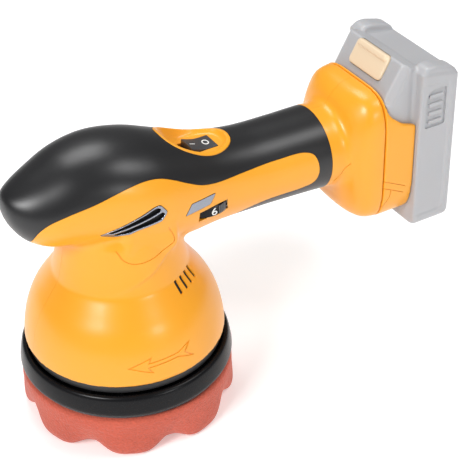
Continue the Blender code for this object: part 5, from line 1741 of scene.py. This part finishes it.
@dataclass
class Battery:
    """The slide-on pack: case, grip ribs and latch."""

    depth: float = 26.5
    x: float = PACK_REAR[1].x - depth
    base: float = PACK_REAR[0].z
    top: float = PACK_REAR[1].z
    half: float = PACK_REAR[1].y
    slope: float = PACK_FRONT[0].x + 14.8
    lean: float = 0.59
    rounding: float = 2.6
    wall: float = 2.2
    block_half: float = 30.0
    block_base: float = 86.7
    rib_count: int = 4
    rib_base: float = 141.1
    rib_step: float = 5.7

    def case(self) -> None:
        """Builds and publishes the case with its rail block and recessed sides."""
        h = self.half
        side = rounded([(-h, self.base), (h, self.base), (h, self.top), (-h, self.top)], 7.0, 8)
        slab = rounded_prism(side, self.x, self.x + self.depth, Axis.X, self.rounding)
        rear = self.x + self.depth
        above = [(170.0, 177.6), (rear + 9.0, 168.8), (rear + 9.0, 200.0), (170.0, 200.0)]
        cut(slab, prism(above, -REACH, REACH, Axis.Y))
        wide, low = self.block_half, self.block_base
        block = [
            (161.0, low), (185.0, low), (185.0, 175.4), (178.5, 178.2), (175.0, 179.8),
            (173.6, 179.4), (161.0, 158.2),
        ]
        face = rounded([(-wide, low), (wide, low), (wide, 240.0), (-wide, 240.0)], 16.0)
        front = prism(face, 150.0, 200.0, Axis.X)
        keep(front, rounded_prism(rounded(block, 2.2), -wide, wide, Axis.Y, self.rounding))
        for side_sign in (-1, 1):
            far = side_sign * 38.0
            corner = [(side_sign * 20.5, -4.0), (far, -4.0), (far, 10.5)]
            cut(front, self.on_slope(prism(corner[::side_sign], -24.0, 16.0, Axis.X)))
        join(slab, front)
        ear = [
            (181.0, 168.0), (206.0, 168.0), (206.0, 172.6), (202.0, 175.6), (190.0, 178.8),
            (184.5, 178.6), (181.0, 175.5),
        ]
        for low, high in ((-36.6, -25.5), (25.5, 36.6)):
            join(slab, rounded_prism(rounded(ear, 2.0), low, high, Axis.Y, 1.8))
        for low, high in ((-REACH, -36.7), (36.7, REACH)):
            panel = rounded([(170.0, 77.5), (201.6, 77.5), (201.6, 168.0), (170.0, 168.0)], 6.0)
            cut(slab, prism(panel, low, high, Axis.Y))
        softened(slab, 0.8, 2)
        self.hollow(slab)
        for side_sign in (-1, 1):
            near, far = sorted((side_sign * 35.7, side_sign * REACH))
            cut(slab, prism(self.grip_outline(), near, far, Axis.Y))
        publish(
            slab, "battery_shell", GREY_PLASTIC, "battery",
            ("battery_case_front", "battery_case_rear"),
        )

    def hollow(self, slab: bpy.types.Object) -> None:
        """Cuts the room for cells, rails, contacts and latch.

        Args:
            slab: The outer case.
        """
        room = self.half - 3.4
        deep = (self.x + self.wall, self.x + self.depth - self.wall)
        cut(slab, box(deep, (-room, room), (self.base + 2.6, 167.5)))
        for side in (-1, 1):
            low, high = sorted((side * 27.1, side * 35.0))
            cut(slab, box((169.4, 173.0), (low, high), (60.0, 137.8)))
        cut(slab, box((156.0, 171.0), (-12.0, 12.0), (60.0, 129.1)))
        cut(slab, self.on_slope(rounded_prism(self.latch_outline(0.3), -6.0, 8.3, Axis.Z, 0.1)))

    def grip_outline(self) -> list[Flat]:
        """The recess for the grip ribs, seen from the side."""
        corners = [(184.6, 138.5), (199.0, 138.5), (199.0, 163.9), (187.6, 163.9), (184.6, 159.5)]
        return rounded(corners, 1.8)

    def ribs(self, repeat: RepeatTree) -> None:
        """Builds and publishes the grip ribs in both recesses.

        Args:
            repeat: The tree that repeats them.
        """
        made = None
        for side in (-1, 1):
            near, far = sorted((side * 35.6, side * 36.95))
            bar = rounded([(187.0, 0.0), (196.8, 0.0), (196.8, 2.3), (187.0, 2.3)], 0.8, 4)
            piece = rounded_prism(bar, near, far, Axis.Y, 0.35)
            start, step = (0.0, 0.0, self.rib_base), (0.0, 0.0, self.rib_step)
            ribs = repeat.run(piece, self.rib_count, start, step, 0.0, GREY_PLASTIC)
            made = merged(made, ribs)
        publish(made, "battery_grip_ribs", GREY_PLASTIC, "battery")

    def latch_outline(self, grow: float) -> list[Flat]:
        """The latch seen square to its face: along the slope, then across."""
        corners = [(-8.5, -15.5), (7.5, -15.5), (7.5, 15.5), (-8.5, 15.5)]
        return offset(rounded(corners, 3.4), grow)

    def on_slope(self, obj: bpy.types.Object) -> bpy.types.Object:
        """Turns a piece modelled flat, with Z into the pack, onto the sloped face."""
        drop = 10.5
        lean = math.atan(self.lean)
        upright = Matrix(((0, 0, 1, 0), (0, 1, 0, 0), (-1, 0, 0, 0), (0, 0, 0, 1)))
        turn = Matrix.Rotation(lean, 4, "Y") @ upright
        place = Vector((self.slope - drop * self.lean, 0.0, self.top + 2.0 - drop)) * MM
        return moved(obj, Matrix.Translation(place) @ turn)

    def latch(self) -> None:
        """Builds and publishes the latch button with a raised upper lip."""
        button = rounded_prism(self.latch_outline(0.0), -1.5, 5.0, Axis.Z, 0.9)
        lip = rounded([(-8.1, -13.6), (-4.4, -13.6), (-4.4, 13.6), (-8.1, 13.6)], 1.5)
        join(button, rounded_prism(lip, -2.6, 1.0, Axis.Z, 0.9))
        softened(button, 0.4, 3)
        self.on_slope(button)
        publish(button, "latch_key", CREAM_PLASTIC, "latch", ("latch_button",))

    def build(self, repeat: RepeatTree) -> None:
        """Builds every outer piece of the battery.

        Args:
            repeat: The tree that repeats the grip ribs.
        """
        self.case()
        self.ribs(repeat)
        self.latch()


# ------------------------------------------------------------------------------------- studio


@dataclass
class Studio:
    """Floor, soft lights and camera."""

    place: tuple[float, float, float] = (-0.2756, -0.5944, 0.5774)
    heading: float = 30.39
    pitch: float = 35.44
    roll: float = -1.114
    lens: float = 111.5
    sensor: float = 36.0
    floor_half: float = 8.0
    glow: float = 0.3
    ambient: float = 0.24
    aim: tuple[float, float, float] = (0.05, 0.0, 0.1)
    lamps: tuple[tuple[str, tuple[float, float, float], float, float], ...] = (
        ("key", (-0.95, -0.45, 0.95), 0.42, 11.5),
        ("front", (0.35, -1.40, 0.60), 0.32, 3.2),
        ("grip", (0.65, -0.50, 1.15), 0.42, 4.2),
        ("top", (0.15, 0.45, 1.2), 0.6, 6.5),
    )

    def floor(self) -> None:
        """Adds the pale floor, which isn't part of the object."""
        mesh = bpy.data.meshes.new("floor")
        half = self.floor_half
        corners = [(-half, -half, 0), (half, -half, 0), (half, half, 0), (-half, half, 0)]
        mesh.from_pydata(corners, [], [[0, 1, 2, 3]])
        floor = bpy.data.objects.new("floor", mesh)
        floor.location.z = -0.0002
        bpy.context.scene.collection.objects.link(floor)
        paint = Finish("pale_floor", (0.93, 0.93, 0.93), 0.6, relief=0.0, mottle=0.004, uneven=0.02)
        mesh.materials.append(paint.material())
        shader = paint.material().node_tree.nodes["Principled BSDF"]
        shader.inputs["Emission Color"].default_value = (1.0, 1.0, 1.0, 1.0)
        shader.inputs["Emission Strength"].default_value = self.glow

    def lamp(self, name: str, place: Sequence[float], size: float, power: float) -> None:
        """Adds one square soft light that faces the object.

        Args:
            name: The light's name.
            place: Where it hangs, in metres.
            size: Its side in metres.
            power: Its power in watts.
        """
        data = bpy.data.lights.new(name, "AREA")
        data.shape = "SQUARE"
        data.size = size
        data.energy = power
        lamp = bpy.data.objects.new(name, data)
        lamp.location = place
        aim = Vector(self.aim) - Vector(place)
        lamp.rotation_euler = aim.to_track_quat("-Z", "Y").to_euler()
        bpy.context.scene.collection.objects.link(lamp)

    def camera(self) -> None:
        """Adds the camera at the object's usual viewing angle."""
        heading, pitch, roll = (math.radians(v) for v in (self.heading, self.pitch, self.roll))
        right = Vector((math.cos(heading), -math.sin(heading), 0.0))
        level = math.cos(pitch)
        ahead = Vector((math.sin(heading) * level, math.cos(heading) * level, -math.sin(pitch)))
        up = right.cross(ahead)
        side = math.cos(roll) * right + math.sin(roll) * up
        top = -math.sin(roll) * right + math.cos(roll) * up
        data = bpy.data.cameras.new("camera")
        data.sensor_width = self.sensor
        data.lens = self.lens
        camera = bpy.data.objects.new("camera", data)
        turn = Matrix((side, top, -ahead)).transposed().to_4x4()
        camera.matrix_world = Matrix.Translation(self.place) @ turn
        bpy.context.scene.collection.objects.link(camera)
        bpy.context.scene.camera = camera

    def build(self) -> None:
        """Adds the whole studio."""
        self.floor()
        self.camera()
        for name, place, size, power in self.lamps:
            self.lamp(name, place, size, power)
        world = bpy.data.worlds.new("studio")
        world.use_nodes = True
        background = world.node_tree.nodes["Background"]
        background.inputs["Color"].default_value = (1.0, 1.0, 1.0, 1.0)
        background.inputs["Strength"].default_value = self.ambient
        bpy.context.scene.world = world
        bpy.context.scene.view_settings.view_transform = "Standard"


def dress_nodes() -> None:
    """Gives every frame node that no piece replaces its finish, by the record's slot."""
    slots = {row["node"]: row["material_slot"] for row in frame["record"]["subparts"]}
    for name, obj in frame["nodes"].items():
        if obj.hide_render:
            continue
        for holder in obj.material_slots:
            holder.material = SLOT_FINISHES[slots[name]].material()
        LOG.info("%s: kept from the frame", name)


def main() -> None:
    """Builds the classes in order, from the housing to the studio."""
    logging.basicConfig(level=logging.INFO, format="%(message)s")
    repeat = RepeatTree()
    shape = GripShape()
    Housing(shape).build()
    Fasteners().build()
    Badge().build(shape)
    Dish().build(shape)
    Rocker().build()
    Dial().build(repeat)
    Head().build(repeat)
    Receiver(shape).build()
    Battery().build(repeat)
    dress_nodes()
    Studio().build()


if __name__ == "__main__":
    main()
